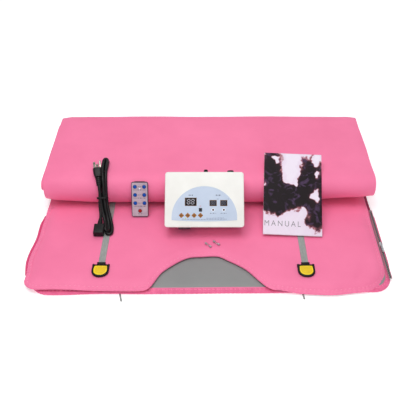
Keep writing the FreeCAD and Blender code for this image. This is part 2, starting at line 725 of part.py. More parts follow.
def makeRemote():
    frame = leaning(size("remoteFoot"), size("remoteX"))
    wide, high = size("remoteWidth"), size("remoteHigh")
    thick, back, r = size("remoteThick"), size("remoteBack"), size("remoteRound")
    wall = size("remoteWall")
    report("remote", frame, (0, 0, 0), (0, high, 0))

    rear = newBody("RemoteBack", frame)
    sketch = sketchOn(rear, "RemoteOutline", "0")
    roundedRectangle(sketch, wide, high, r)
    pad(rear, sketch, ref("remoteBack"))
    inside = sketchOn(rear, "RemoteInside", ref("remoteWall"))
    roundedRectangle(inside, wide - 2 * wall, high - 2 * wall, r - wall)
    inside.setExpression("AttachmentOffset.Base.y", ref("remoteWall"))
    pocket(rear, inside, ref("remoteBack"), True)
    doc.recompute()
    slot = box("TraySlot", f"{ref('trayWide')}+0.6", "8", f"{ref('trayThick')}+0.6",
               at(-size("trayWide") / 2 - 0.3, high - 4, wall + 0.1, frame))
    keep("remote_back", cut("RemoteBackCut", rear, slot))

    front = newBody("RemoteFront", frame)
    sketch = sketchOn(front, "RemoteFace", ref("remoteBack"))
    roundedRectangle(sketch, wide, high, r)
    pad(front, sketch, f"{ref('remoteThick')}-{ref('remoteBack')}")
    holes = sketchOn(front, "RemoteHoles", ref("remoteThick"))
    for x, y in buttonPlaces().values():
        index = holes.addGeometry(Part.Circle(Vector(x, y, 0), Vector(0, 0, 1),
                                              size("buttonRadius") + size("buttonGap")))
        holes.addConstraint(Sketcher.Constraint("Radius", index,
                                                size("buttonRadius") + size("buttonGap")))
    pocket(front, holes, ref("remoteThick"))
    keep("remote_front", front)

    for name, (x, y) in buttonPlaces().items():
        button = cylinder(f"Button_{name}", ref("buttonRadius"),
                          f"{ref('remoteThick')}-{ref('remoteBack')}+{ref('buttonProud')}",
                          at(x, y, back, frame))
        keep(f"{name}_button", button)

    long = size("trayLong")
    low = wall + 0.4
    tray = box("TrayPlate", ref("trayWide"), ref("trayLong"), ref("trayThick"),
               at(-size("trayWide") / 2, high - long, low, frame))
    well = cylinder("TrayWell", f"{ref('cellRadius')}+0.2", ref("trayThick"),
                    at(0, high - long / 2 - 0.8, low + 0.6, frame))
    lip = box("TrayLip", ref("trayWide"), "1.2", ref("trayThick"),
              at(-size("trayWide") / 2, high, low, frame))
    keep("battery_tray", fuse("BatteryTray", cut("TrayCut", tray, well), lip))
    cell = cylinder("CoinCell", ref("cellRadius"), ref("cellThick"),
                    at(0, high - long / 2 - 0.8, low + 0.65, frame))
    keep("coin_cell", cell)


def makeBooklet():
    frame = leaning(size("bookFoot"), size("bookX"), size("bookTurn"), size("webThick"))
    wide, leaf = size("bookWidth"), size("leafThick")
    lift = wide / 2 * math.tan(math.radians(abs(size("bookTurn"))))
    report("booklet", frame, (-wide / 2, lift, leaf + size("pagesThick")),
           (-wide / 2, lift + size("bookHigh"), leaf + size("pagesThick")))
    pages = box("BookPages", ref("bookWidth"), ref("bookHigh"),
                f"{ref('pagesThick')}+{ref('leafThick')}", at(-wide / 2, lift, 0, frame))
    keep("booklet_pages", pages)
    front = box("BookCover", ref("bookWidth"), ref("bookHigh"), ref("leafThick"),
                at(-wide / 2, lift, leaf + size("pagesThick") + 0.15, frame))
    keep("booklet_cover", front)


# ---- the power lead, folded into a hank that drapes from the flat part over the nose ----

def hankLine():
    """Middle line of the hank in the YZ plane: along the flat part, up, and onto the roll."""
    half = size("hankThick") / 2
    flatZ = stackThick + size("webThick") + size("restGap") + half
    topZ = rollHigh + size("restGap") + half
    slope = math.radians(50)
    reach = noseRadius + size("restGap") + half
    touch = Vector(0, noseY - reach * math.sin(slope), noseHigh + reach * math.cos(slope))
    footY = touch.y - (touch.z - flatZ) / math.tan(slope)
    return flatZ, topZ, slope, reach, touch, footY


def hankShape():
    half = size("hankThick") / 2
    flatZ, topZ, slope, reach, touch, footY = hankLine()
    bendRadius = 50.0
    tangent = bendRadius * math.tan(slope / 2)
    low, high = size("hankLow"), size("hankHigh")

    def side(off):
        """Line parallel to the middle one, off mm above it."""
        bend = bendRadius - off
        lowMid = Vector(0, footY - tangent, flatZ + bendRadius)
        start = Vector(0, low, flatZ + off)
        arcFrom = Vector(0, lowMid.y, flatZ + off)
        arcMid = lowMid + Vector(0, math.sin(slope / 2), -math.cos(slope / 2)) * bend
        arcTo = lowMid + Vector(0, math.sin(slope), -math.cos(slope)) * bend
        nose = Vector(0, noseY, noseHigh)
        over = reach + off
        upFrom = nose + Vector(0, -math.sin(slope), math.cos(slope)) * over
        upMid = nose + Vector(0, -math.sin(slope / 2), math.cos(slope / 2)) * over
        upTo = Vector(0, noseY, noseHigh + over)
        end = Vector(0, high, noseHigh + over)
        return [Part.LineSegment(start, arcFrom).toShape(), Part.Arc(arcFrom, arcMid, arcTo).toShape(),
                Part.LineSegment(arcTo, upFrom).toShape(), Part.Arc(upFrom, upMid, upTo).toShape(),
                Part.LineSegment(upTo, end).toShape()]

    under, upper = side(-half), side(half)
    caps = [Part.LineSegment(Vector(0, low, flatZ - half), Vector(0, low, flatZ + half)).toShape(),
            Part.LineSegment(Vector(0, high, noseHigh + reach - half),
                             Vector(0, high, noseHigh + reach + half)).toShape()]
    face = Part.Face(Part.Wire(Part.__sortEdges__(under + upper + caps)))
    band = face.extrude(Vector(120, 0, 0))
    band.translate(Vector(size("hankX") - 60, 0, 0))
    return band.common(hankPlan())


def hankPlan():
    """Seen from above: wide loops at both ends and a narrow waist."""
    x, low, high = size("hankX"), size("hankLow"), size("hankHigh")
    spots = [(x + 12, low), (x + 28, low), (x + 33, low + 24), (x + 25, low + 62),
             (x + 13, low + 96), (x + 12, high - 40), (x + 12, high - 14), (x + 6, high),
             (x - 6, high), (x - 7, plugEnd()), (x - 24, plugEnd()), (x - 13, plugEnd() - 18),
             (x - 7, connectorEnd()), (x + 12, connectorEnd())]
    corners = [Vector(px, py, 0) for px, py in spots]
    plan = Part.Face(Part.makePolygon(corners + corners[:1]))
    return plan.extrude(Vector(0, 0, 200))


def plugFrame():
    """The plug leans on the roll's nose: X across, Y up the slope, Z out from the roll."""
    slope = math.radians(size("plugSlope"))
    over = noseRadius + size("restGap")
    foot = Vector(size("hankX") - 19.5, noseY - over * math.sin(slope),
                  noseHigh + over * math.cos(slope))
    return Placement(foot, Rotation(Vector(1, 0, 0), size("plugSlope")))


def plugEnd():
    """Y of the nearest point of the plug's neck, whose end is tilted with the slope."""
    end = Vector(0, -size("plugBelow") - size("neckLong"), size("hankThick") / 2)
    tilt = (size("cordThick") / 2 + 0.5) * math.sin(math.radians(size("plugSlope")))
    return plugFrame().multVec(end).y - tilt


def connectorEnd():
    """Y at which the connector's neck meets the hank."""
    return size("hankLow") + size("connectorLong") + size("neckLong")


def neck(label, place):
    item = doc.addObject("Part::Cone", label)
    item.Radius1 = 6.0
    bind(item, Radius2=f"{ref('cordThick')}/2+0.5", Height=ref("neckLong"))
    item.Placement = place
    return item


def makePowerLead():
    keep("power_cord_hank", formed("PowerCordHank", hankShape()))
    x = size("hankX")

    # the connector lies on the left strap's edge, level with the hank
    level = stackThick + size("webThick") + size("restGap")
    near = size("hankLow")
    connector = box("ConnectorBody", "24", ref("connectorLong"), "15.6", at(x - 13, near, level))
    tail = neck("ConnectorNeck", Placement(Vector(x - 1, near + size("connectorLong"), level + 7.8),
                                           Rotation(Vector(1, 0, 0), -90)))
    keep("cord_connector", fuse("CordConnector", connector, tail))

    place = plugFrame()
    below = size("plugBelow")
    wide, high = size("plugWide"), size("plugHigh")
    body = box("PlugBody", ref("plugWide"), ref("plugLong"), ref("plugHigh"),
               place.multiply(Placement(Vector(-wide / 2, -below, 0), Rotation())))
    tail = neck("PlugNeck", place.multiply(Placement(Vector(0, -below, size("hankThick") / 2),
                                                     Rotation(Vector(1, 0, 0), 90))))
    # the plug lies turned about its own axis, so its earth pin points sideways
    turned = place.multiply(Placement(Vector(0, size("plugLong") - below - 1, high / 2),
                                      Rotation(Vector(0, 1, 0), size("plugTurn"))))
    pins = [box(f"Blade{k}", "1.5", "18", "6.3",
                turned.multiply(Placement(Vector(dx - 0.75, 0, -3.9 - 3.15), Rotation())))
            for k, dx in enumerate((-6.35, 6.35))]
    along = Placement(Vector(0, 0, 8), Rotation(Vector(1, 0, 0), -90))
    earth = cylinder("EarthPin", "2.4", "21", turned.multiply(along))
    keep("power_plug", fuse("PowerPlug", body, tail, earth, *pins))


def makeSpareFuses():
    level = stackThick + size("fuseRestGap") + size("fuseRadius")
    long = size("fuseLong")
    fuses = []
    for k, (x, y, angle) in enumerate(((0.5, -161, -45), (19.5, -154.5, -42))):
        along = Vector(math.cos(math.radians(angle)), math.sin(math.radians(angle)), 0)
        place = Placement(Vector(x, y, level) - along * (long / 2),
                          Rotation(Vector(0, 0, 1), along))
        fuses.append(cylinder(f"SpareFuse{k}", ref("fuseRadius"), ref("fuseLong"), place))
    keep("spare_fuses", group("SpareFuses", fuses))


makeLowerPanel()
makeRolledPart()
makeUpperPanel()
makeHeadFlap()
makeStraps()
makePulls()
makeTails()
makeSideFold()
makeZip()
makeController()
makeRemote()
makeBooklet()
makePowerLead()
makeSpareFuses()
doc.recompute()

for item in doc.Objects:
    if "Invalid" in item.State or "Error" in item.State:
        raise RuntimeError(f"{item.Label} failed: {item.State}")

os.makedirs("parts", exist_ok=True)
for label, item in nodes.items():
    shape = item.Shape
    if shape.isNull() or not shape.isValid():
        raise RuntimeError(f"{label} has no valid shape")
    shape.exportStep(os.path.join("parts", label + ".step"))
print(len(nodes), "nodes; fold line y", round(foldY, 3), "stack", stackThick, "front", frontY,
      "nose", noseY, noseHigh, noseRadius, "back", backY, "high", rollHigh)
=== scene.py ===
import json
import math
import bmesh
import bpy
from mathutils import Matrix, Vector, noise


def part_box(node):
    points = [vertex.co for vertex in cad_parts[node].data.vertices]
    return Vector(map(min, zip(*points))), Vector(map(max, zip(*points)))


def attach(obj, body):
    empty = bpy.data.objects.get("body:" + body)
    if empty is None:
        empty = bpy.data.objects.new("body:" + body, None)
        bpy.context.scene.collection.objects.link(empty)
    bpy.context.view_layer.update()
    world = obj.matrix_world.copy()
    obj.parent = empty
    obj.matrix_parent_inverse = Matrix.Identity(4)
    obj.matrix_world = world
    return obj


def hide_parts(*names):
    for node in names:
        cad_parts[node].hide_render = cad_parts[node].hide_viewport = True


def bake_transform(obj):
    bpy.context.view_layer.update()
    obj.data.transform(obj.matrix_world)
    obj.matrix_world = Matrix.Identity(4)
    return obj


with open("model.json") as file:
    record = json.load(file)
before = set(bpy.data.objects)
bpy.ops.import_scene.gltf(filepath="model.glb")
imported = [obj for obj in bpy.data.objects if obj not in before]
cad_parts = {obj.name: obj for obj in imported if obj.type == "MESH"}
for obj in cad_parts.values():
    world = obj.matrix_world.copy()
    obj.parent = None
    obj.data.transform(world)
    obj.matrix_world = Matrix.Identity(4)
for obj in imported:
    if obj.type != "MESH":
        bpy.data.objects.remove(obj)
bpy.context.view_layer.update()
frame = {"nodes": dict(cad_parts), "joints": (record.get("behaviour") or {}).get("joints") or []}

joints = {joint["name"]: joint for joint in frame["joints"]}
mm = 0.001
bpy.context.scene.view_settings.view_transform = "Standard"

# camera first: how far down it looks, how far off it stands, what it aims at, its lens
lens = dict(down=40.7, away=1.5271, aim=(0.0, -0.0278, 0.020), focal=53.65)
tilt = math.radians(lens["down"])
camera = bpy.data.objects.new("Camera", bpy.data.cameras.new("Camera"))
bpy.context.scene.collection.objects.link(camera)
camera.data.lens = lens["focal"]
camera.data.sensor_width = 36
camera.data.clip_end = 30
camera.location = Vector(lens["aim"]) + lens["away"] * Vector((0, -math.cos(tilt), math.sin(tilt)))
camera.rotation_euler = (math.pi / 2 - tilt, 0, 0)
bpy.context.scene.camera = camera

# the roll's own sizes, read from the frame
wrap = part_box("rolled_lower_cover")
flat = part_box("lower_cover")
rollHigh = wrap[1].z
frontY, backY = flat[0].y, wrap[1].y
panel = dict(thick=9.5 * mm, gap=1.0 * mm, lap=20.3 * mm, hem=5.0 * mm,
             corner=45 * mm, crown=24 * mm)
backRadius = rollHigh / 2
noseRadius = (rollHigh - panel["lap"]) / 2
noseHigh = (rollHigh + panel["lap"]) / 2
noseY = wrap[0].y + noseRadius


# making and joining parts

def ease(low, high, value):
    part = min(max((value - low) / (high - low), 0.0), 1.0)
    return part * part * (3 - 2 * part)


def mix(first, second, part):
    return first + (second - first) * part


def bell(middle, spread, value):
    return math.exp(-((value - middle) / spread) ** 2)


def wave(x, y, z=0.0):
    return noise.noise(Vector((x, y, z)))


def block(size, centre=(0, 0, 0), soft=0.0, upright=0.0, segments=3, turns=8):
    # a box in its piece's own millimetres: upright rounds the edges along Z, soft the others
    part = bmesh.new()
    bmesh.ops.create_cube(part, size=1.0)
    bmesh.ops.scale(part, vec=Vector(size), verts=part.verts)
    if upright:
        edges = [e for e in part.edges
                 if abs((e.verts[0].co - e.verts[1].co).normalized().z) > 0.9]
        bmesh.ops.bevel(part, geom=edges, offset=upright, segments=turns, profile=0.5,
                        affect="EDGES", material=-1)
    if soft:
        edges = [e for e in part.edges if e.calc_face_angle(0) > 0.9]
        bmesh.ops.bevel(part, geom=edges, offset=soft, segments=segments, profile=0.5,
                        affect="EDGES", material=-1)
    bmesh.ops.translate(part, vec=Vector(centre), verts=part.verts)
    return part


def rod(radius, low, high, place=None, soft=0.0, around=32, end=None):
    # a closed cylinder or cone along Z, its rims softened
    part = bmesh.new()
    bmesh.ops.create_cone(part, cap_ends=True, segments=around, radius1=radius,
                          radius2=radius if end is None else end, depth=high - low)
    if soft:
        edges = [e for e in part.edges if e.calc_face_angle(0) > 1.0]
        bmesh.ops.bevel(part, geom=edges, offset=soft, segments=3, profile=0.5,
                        affect="EDGES", material=-1)
    bmesh.ops.translate(part, vec=(0, 0, (low + high) / 2), verts=part.verts)
    if place is not None:
        bmesh.ops.transform(part, matrix=place, verts=part.verts)
    return part


def turned(profile, around=48, place=None):
    # a round solid from its outline (radius, height), both ends on the axis
    part = bmesh.new()
    chain = [part.verts.new((radius, 0, height)) for radius, height in profile]
    edges = [part.edges.new(pair) for pair in zip(chain, chain[1:])]
    bmesh.ops.spin(part, geom=chain + edges, axis=(0, 0, 1), cent=(0, 0, 0),
                   angle=2 * math.pi, steps=around, use_merge=True)
    bmesh.ops.remove_doubles(part, verts=part.verts, dist=1e-5)
    bmesh.ops.recalc_face_normals(part, faces=part.faces)
    if place is not None:
        bmesh.ops.transform(part, matrix=place, verts=part.verts)
    return part


def add(whole, part, finish=None):
    # puts a part into the whole; finish is the index of its material
    if finish is not None:
        for face in part.faces:
            face.material_index = finish
    mesh = bpy.data.meshes.new("Part")
    part.to_mesh(mesh)
    part.free()
    whole.from_mesh(mesh)
    bpy.data.meshes.remove(mesh)


def makePiece(name, bm, finishes, body, place=None, stands=(), sharp=35):
    if place is not None:
        bmesh.ops.transform(bm, matrix=place, verts=bm.verts)
    mesh = bpy.data.meshes.new(name)
    bm.to_mesh(mesh)
    bm.free()
    for finish in finishes:
        mesh.materials.append(finish)
    mesh.shade_smooth()
    if sharp:
        mesh.set_sharp_from_angle(angle=math.radians(sharp))
    piece = bpy.data.objects.new(name, mesh)
    bpy.context.scene.collection.objects.link(piece)
    if body:
        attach(piece, body)
    if stands:
        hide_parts(*stands)
    return piece


def withModifier(piece, kind, **settings):
    modifier = piece.modifiers.new(kind.title(), kind)
    for key, value in settings.items():
        setattr(modifier, key, value)
    return piece


def applied(piece):
    # swaps a piece's mesh for what its modifiers make of it
    graph = bpy.context.evaluated_depsgraph_get()
    mesh = bpy.data.meshes.new_from_object(piece.evaluated_get(graph))
    piece.modifiers.clear()
    piece.data = mesh
    return piece


def leaningFrame(foot, lean):
    # own millimetres to the shared frame: X across, Y up the slope, Z out of the face
    return (Matrix.Translation(Vector(foot) * mm) @ Matrix.Rotation(lean, 4, "X")
            @ Matrix.Scale(mm, 4))


# finishes

def tint(red, green, blue):
    # a colour as a screen shows it, 0 to 255, in the shader's own scale
    return tuple(((c / 255 + 0.055) / 1.055) ** 2.4 if c > 10 else c / 3295 for c in (red, green, blue))


def newFinish(name, **sockets):
    material = bpy.data.materials.new(name)
    material.use_nodes = True
    shader = material.node_tree.nodes["Principled BSDF"]
    for socket, value in sockets.items():
        shader.inputs[socket.replace("_", " ")].default_value = value
    return material, material.node_tree, shader


def node(tree, kind, links=(), **settings):
    made = tree.nodes.new(kind)
    for key, value in settings.items():
        if key in made.inputs:
            made.inputs[key].default_value = value
        else:
            setattr(made, key, value)
    for socket, source in links:
        tree.links.new(source, made.inputs[socket])
    return made


def ramp(tree, source, stops):
    made = node(tree, "ShaderNodeValToRGB", [("Fac", source)])
    elements = made.color_ramp.elements
    for element, (place, colour) in zip(elements, stops):
        element.position, element.color = place, (*colour, 1)
    for place, colour in stops[2:]:
        elements.new(place).color = (*colour, 1)
    return made.outputs["Color"]


def spread(tree, source, low, high):
    made = node(tree, "ShaderNodeMapRange", [("Value", source)])
    made.inputs["To Min"].default_value = low
    made.inputs["To Max"].default_value = high
    return made.outputs["Result"]


def raised(tree, shader, height, strength, distance):
    bump = node(tree, "ShaderNodeBump", [("Height", height)], Strength=strength, Distance=distance)
    tree.links.new(bump.outputs["Normal"], shader.inputs["Normal"])


def moulded(name, dark, light, scale=40, rough=(0.4, 0.55), grain=900, depth=0.06 * mm,
            strength=0.5, **sockets):
    # colour drifting between two shades, uneven gloss, and a fine grain
    material, tree, shader = newFinish(name, **sockets)
    spot = node(tree, "ShaderNodeTexCoord").outputs["Object"]
    drift = node(tree, "ShaderNodeTexNoise", [("Vector", spot)], Scale=scale, Detail=4.0)
    tree.links.new(ramp(tree, drift.outputs["Fac"], [(0.3, dark), (0.7, light)]),
                   shader.inputs["Base Color"])
    haze = node(tree, "ShaderNodeTexNoise", [("Vector", spot)], Scale=scale * 2.3, Detail=3.0)
    tree.links.new(spread(tree, haze.outputs["Fac"], *rough), shader.inputs["Roughness"])
    fine = node(tree, "ShaderNodeTexNoise", [("Vector", spot)], Scale=grain, Detail=2.0)
    raised(tree, shader, fine.outputs["Fac"], strength, depth)
    return material


def woven(name, dark, light, thread, depth, rough, drift=9.0, sheen=0.1, tangle=0.5):
    # coated cloth: plain weave under the coating, broad colour drift, faint rubbed creases
    material, tree, shader = newFinish(name, Sheen_Weight=sheen, Sheen_Roughness=0.4,
                                       Specular_IOR_Level=0.3)
    spot = node(tree, "ShaderNodeTexCoord").outputs["Object"]
    broad = node(tree, "ShaderNodeTexNoise", [("Vector", spot)], Scale=drift, Detail=6.0,
                 Roughness=0.6)
    tree.links.new(ramp(tree, broad.outputs["Fac"], [(0.30, dark), (0.70, light)]),
                   shader.inputs["Base Color"])
    tree.links.new(spread(tree, broad.outputs["Fac"], *rough), shader.inputs["Roughness"])
    warp = node(tree, "ShaderNodeTexWave", [("Vector", spot)], Scale=thread, bands_direction="X",
                Distortion=tangle)
    weft = node(tree, "ShaderNodeTexWave", [("Vector", spot)], Scale=thread, bands_direction="Y",
                Distortion=tangle)
    weave = node(tree, "ShaderNodeMath", [(0, warp.outputs["Fac"]), (1, weft.outputs["Fac"])],
                 operation="MULTIPLY")
    crease = node(tree, "ShaderNodeTexNoise", [("Vector", spot)], Scale=55.0, Detail=5.0,
                  Roughness=0.55, Distortion=0.6)
    height = node(tree, "ShaderNodeMath", [(0, crease.outputs["Fac"])], operation="MULTIPLY_ADD")
    height.inputs[1].default_value = 5.0
    tree.links.new(weave.outputs["Value"], height.inputs[2])
    raised(tree, shader, height.outputs["Value"], 0.45, depth)
    return material


def ribbed(name, dark, light):
    # ribs and drawn threads run along the webbing
    material, tree, shader = newFinish(name, Sheen_Weight=0.1, Sheen_Roughness=0.4,
                                       Specular_IOR_Level=0.25)
    spot = node(tree, "ShaderNodeTexCoord").outputs["Object"]
    drawn = node(tree, "ShaderNodeMapping", [("Vector", spot)])
    drawn.inputs["Scale"].default_value = (1.0, 0.07, 0.4)
    thread = node(tree, "ShaderNodeTexNoise", [("Vector", drawn.outputs["Vector"])], Scale=900.0,
                  Detail=3.0)
    tree.links.new(ramp(tree, thread.outputs["Fac"], [(0.35, dark), (0.65, light)]),
                   shader.inputs["Base Color"])
    tree.links.new(spread(tree, thread.outputs["Fac"], 0.6, 0.8), shader.inputs["Roughness"])
    pick = node(tree, "ShaderNodeTexWave", [("Vector", spot)], Scale=700.0, bands_direction="Y",
                Distortion=1.5)
    both = node(tree, "ShaderNodeMath", [(0, thread.outputs["Fac"]), (1, pick.outputs["Fac"])],
                operation="ADD")
    raised(tree, shader, both.outputs["Value"], 0.6, 0.12 * mm)
    return material


pink = woven("CoverCloth", tint(241, 119, 161), tint(248, 127, 169), 260, 0.11 * mm, (0.46, 0.6))
# the lower panel's cloth: the cover cloth with painted shade added under the nose
pinkNipShaded = woven("CoverClothNipShaded", tint(241, 119, 161), tint(248, 127, 169), 260, 0.11 * mm, (0.46, 0.6))
# the lower hem's deeper pink is painted shade for its front-facing turned edge
pinkHemShaded = woven("HemClothShaded", tint(222, 92, 138), tint(240, 112, 156), 260, 0.13 * mm, (0.5, 0.62),
                drift=60.0)
# a deeper pink of the cover cloth: painted shade, used on the gusset and the strips along the zip tape
pinkShaded = woven("GussetClothShaded", tint(206, 62, 112), tint(222, 78, 128), 260, 0.13 * mm, (0.5, 0.65))
greyLining = woven("LiningCloth", tint(136, 136, 136), tint(144, 144, 144), 300, 0.07 * mm,
                   (0.42, 0.55), drift=6.0)
hemThread = moulded("HemThread", tint(250, 152, 186), tint(255, 172, 200), scale=300,
                    rough=(0.5, 0.7), grain=2500)
webbing = ribbed("RibbedWebbing", tint(140, 143, 141), tint(164, 167, 164))
blackMoulding = moulded("BlackMoulding", tint(14, 14, 15), tint(25, 25, 26), scale=70,
                        rough=(0.40, 0.56), grain=1500, Specular_IOR_Level=0.22)
cordSkin = moulded("CordSkin", tint(12, 12, 13), tint(24, 24, 25), scale=90, rough=(0.32, 0.48),
                   grain=1200, depth=0.03 * mm, Specular_IOR_Level=0.26)
yellowInlay = moulded("YellowInlay", tint(236, 200, 10), tint(250, 220, 20), scale=90,
                      rough=(0.35, 0.5), grain=1200)
yellowPanel = moulded("YellowPanel", tint(222, 184, 8), tint(234, 198, 12), scale=90,
                      rough=(0.45, 0.6), grain=1600)
zipMetal = moulded("ZipMetal", tint(190, 190, 194), tint(215, 215, 218), scale=120,
                   rough=(0.2, 0.38), grain=1800, Metallic=1.0)
zipDark = moulded("ZipTeeth", tint(48, 44, 48), tint(74, 70, 74), scale=200, rough=(0.3, 0.5),
                  grain=2500)
caseWhite = moulded("CaseWhite", tint(232, 231, 226), tint(240, 239, 235), scale=25,
                    rough=(0.34, 0.46), grain=1100, depth=0.04 * mm, Specular_IOR_Level=0.3)
overlayBlue = moulded("OverlayPrint", tint(180, 194, 216), tint(188, 201, 221), scale=30,
                      rough=(0.28, 0.36), grain=1500, depth=0.02 * mm)
printGrey = moulded("PrintGrey", tint(96, 108, 134), tint(122, 132, 156), scale=400,
                    rough=(0.4, 0.5), grain=2500, depth=0.01 * mm)
printDark = moulded("PrintDark", tint(46, 50, 74), tint(62, 66, 92), scale=400,
                    rough=(0.4, 0.5), grain=2500, depth=0.01 * mm)
printWhite = moulded("PrintWhite", tint(228, 234, 244), tint(238, 242, 250), scale=200,
                     rough=(0.35, 0.45), grain=2500, depth=0.01 * mm)
printRed = moulded("PrintRed", tint(196, 48, 66), tint(214, 64, 80), scale=300, rough=(0.4, 0.5),
                   grain=2500, depth=0.01 * mm)
printLime = moulded("PrintLime", tint(176, 196, 40), tint(200, 214, 60), scale=300,
                    rough=(0.4, 0.5), grain=2500, depth=0.01 * mm)
glassBlack = moulded("DisplayGlass", tint(18, 16, 20), tint(26, 23, 28), scale=60,
                     rough=(0.24, 0.34), grain=900, depth=0.01 * mm, Specular_IOR_Level=0.12)
bezelBrown = moulded("BezelBrown", tint(112, 74, 34), tint(150, 100, 48), scale=240,
                     rough=(0.35, 0.5), grain=1800, depth=0.02 * mm)
segmentGrey = moulded("SegmentGrey", tint(150, 148, 160), tint(172, 170, 180), scale=300,
                      rough=(0.3, 0.4), grain=1800, depth=0.01 * mm)
segmentDim = moulded("SegmentDim", tint(84, 84, 104), tint(104, 104, 124), scale=300,
                     rough=(0.3, 0.4), grain=1800, depth=0.01 * mm)
keyAmber = moulded("KeyAmber", tint(158, 96, 18), tint(184, 118, 28), scale=220,
                   rough=(0.32, 0.45), grain=1500, Specular_IOR_Level=0.2)
keyAmberDark = moulded("KeyAmberDark", tint(62, 30, 6), tint(88, 44, 10), scale=220,
                       rough=(0.35, 0.5), grain=1500)
lampRed = moulded("LampRed", tint(60, 8, 12), tint(96, 14, 18), scale=200, rough=(0.08, 0.16),
                  grain=900, depth=0.01 * mm, Coat_Weight=0.6, Coat_Roughness=0.05)
remoteSilver = moulded("RemoteSilver", tint(180, 164, 178), tint(196, 180, 190), scale=90,
                       rough=(0.34, 0.46), grain=2200, depth=0.03 * mm, Specular_IOR_Level=0.3)
remoteDark = moulded("RemoteDark", tint(74, 60, 74), tint(94, 78, 92), scale=90, rough=(0.36, 0.5),
                     grain=1500, Specular_IOR_Level=0.25)
buttonBlue = moulded("ButtonBlue", tint(0, 62, 160), tint(6, 88, 190), scale=150,
                     rough=(0.2, 0.3), grain=900, depth=0.02 * mm, Specular_IOR_Level=0.35)
buttonRed = moulded("ButtonRed", tint(140, 14, 16), tint(176, 24, 22), scale=150,
                    rough=(0.2, 0.3), grain=900, depth=0.02 * mm, Specular_IOR_Level=0.35)
boardGreen = moulded("BoardGreen", tint(16, 84, 50), tint(28, 108, 66), scale=120,
                     rough=(0.3, 0.45), grain=1500)
ironGrey = moulded("IronGrey", tint(92, 94, 98), tint(120, 122, 126), scale=200,
                   rough=(0.35, 0.55), grain=1500, Metallic=0.9)
brass = moulded("PinBrass", tint(206, 200, 186), tint(232, 226, 212), scale=150,
                rough=(0.18, 0.3), grain=1200, depth=0.02 * mm, Metallic=1.0)
paper = moulded("PageEdges", tint(226, 222, 220), tint(242, 240, 238), scale=60,
                rough=(0.7, 0.85), grain=3000, depth=0.1 * mm)
titleGrey = moulded("TitleGrey", tint(108, 106, 110), tint(126, 124, 128), scale=300,
                    rough=(0.5, 0.6), grain=2500, depth=0.01 * mm)
print("finishes ready")


# the power lead, folded into a hank that drapes from the flat part over the roll's nose

lead = dict(thick=7.6 * mm, length=0.93, middleX=-254 * mm, bend=50 * mm, slope=math.radians(50),
            stations=(-108, -86, -62, -38, -16, 6, 30), lowTurns=(-127.5, -119.5),
            highTurns=(53.5, 48.5), waist=-46, tie=-48,
            firstFrom=-65, lastTo=-60, outOfNeck=(46, 58), intoPlug=(-30, -19))
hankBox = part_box("power_cord_hank")
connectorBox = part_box("cord_connector")
hankHalf = 7.5 * mm

# each strand's offset across the hank at its low end, waist and high end, and its layer there
strands = (((-1.0, -5.3, -1.2), (-0.9, -3.8, -3.8)),
           ((16.0, 2.3, 7.6), (-3.8, -3.8, -3.8)),
           ((28.5, 10.1, 7.6), (-3.8, -3.8, 3.8)),
           ((20.8, 6.3, -1.4), (-3.8, 3.8, 3.8)),
           ((12.8, -1.5, -4.9), (3.6, 3.8, 3.8)))

# where the plug leans on the nose and the connector lies on the flat part, from own millimetres
plug = dict(wide=22, high=19, long=24, neck=22, neckLow=2.0, blade=(1.5, 6.3, 17), spacing=6.35,
            low=3.9, pin=2.35, pinUp=8.0, turn=math.radians(65), aside=-8.6 * mm, below=3 * mm,
            slope=math.radians(25), lean=math.radians(8.6))
connector = dict(long=27, neck=22, radius=3.0, rise=math.radians(8))
plugReach = noseRadius + 0.3 * mm
plugPlace = (Matrix.Translation((lead["middleX"] + plug["aside"],
                                 noseY - plugReach * math.sin(plug["slope"]),
                                 noseHigh + plugReach * math.cos(plug["slope"])))
             @ Matrix.Rotation(plug["slope"], 4, "X") @ Matrix.Rotation(plug["lean"], 4, "Z")
             @ Matrix.Translation((0, -plug["below"], plug["high"] / 2 * mm))
             @ Matrix.Rotation(-math.pi / 2, 4, "X") @ Matrix.Scale(mm, 4))
connectorPlace = (Matrix.Translation(((connectorBox[0].x + connectorBox[1].x) / 2,
                                      connectorBox[0].y, connectorBox[0].z))
                  @ Matrix.Rotation(connector["rise"], 4, "X")
                  @ Matrix.Translation((0, 0, (connectorBox[1].z - connectorBox[0].z) / 2))
                  @ Matrix.Rotation(-math.pi / 2, 4, "X") @ Matrix.Scale(mm, 4))


def draped(y, up=0.0):
    # height along the hank's middle line, and the point that stands up over it
    flatZ, topZ = hankBox[0].z + hankHalf, hankBox[1].z - hankHalf
    bend, slope = lead["bend"], lead["slope"]
    reach = topZ - noseHigh
    touchY = noseY - reach * math.sin(slope)
    touchZ = noseHigh + reach * math.cos(slope)
    footY = touchY - (touchZ - flatZ) / math.tan(slope)
    bendFrom = footY - bend * math.tan(slope / 2)
    bendTo = bendFrom + bend * math.sin(slope)
    if y < bendFrom:
        lean, z = 0.0, flatZ
    elif y < bendTo:
        lean = math.asin((y - bendFrom) / bend)
        z = flatZ + bend * (1 - math.cos(lean))
    elif y < touchY:
        lean = slope
        z = touchZ - (touchY - y) * math.tan(slope)
    elif y < noseY:
        lean = math.asin((noseY - y) / reach)
        z = noseHigh + reach * math.cos(lean)
    else:
        lean, z = 0.0, topZ
    return y - up * math.sin(lean), z + up * math.cos(lean)


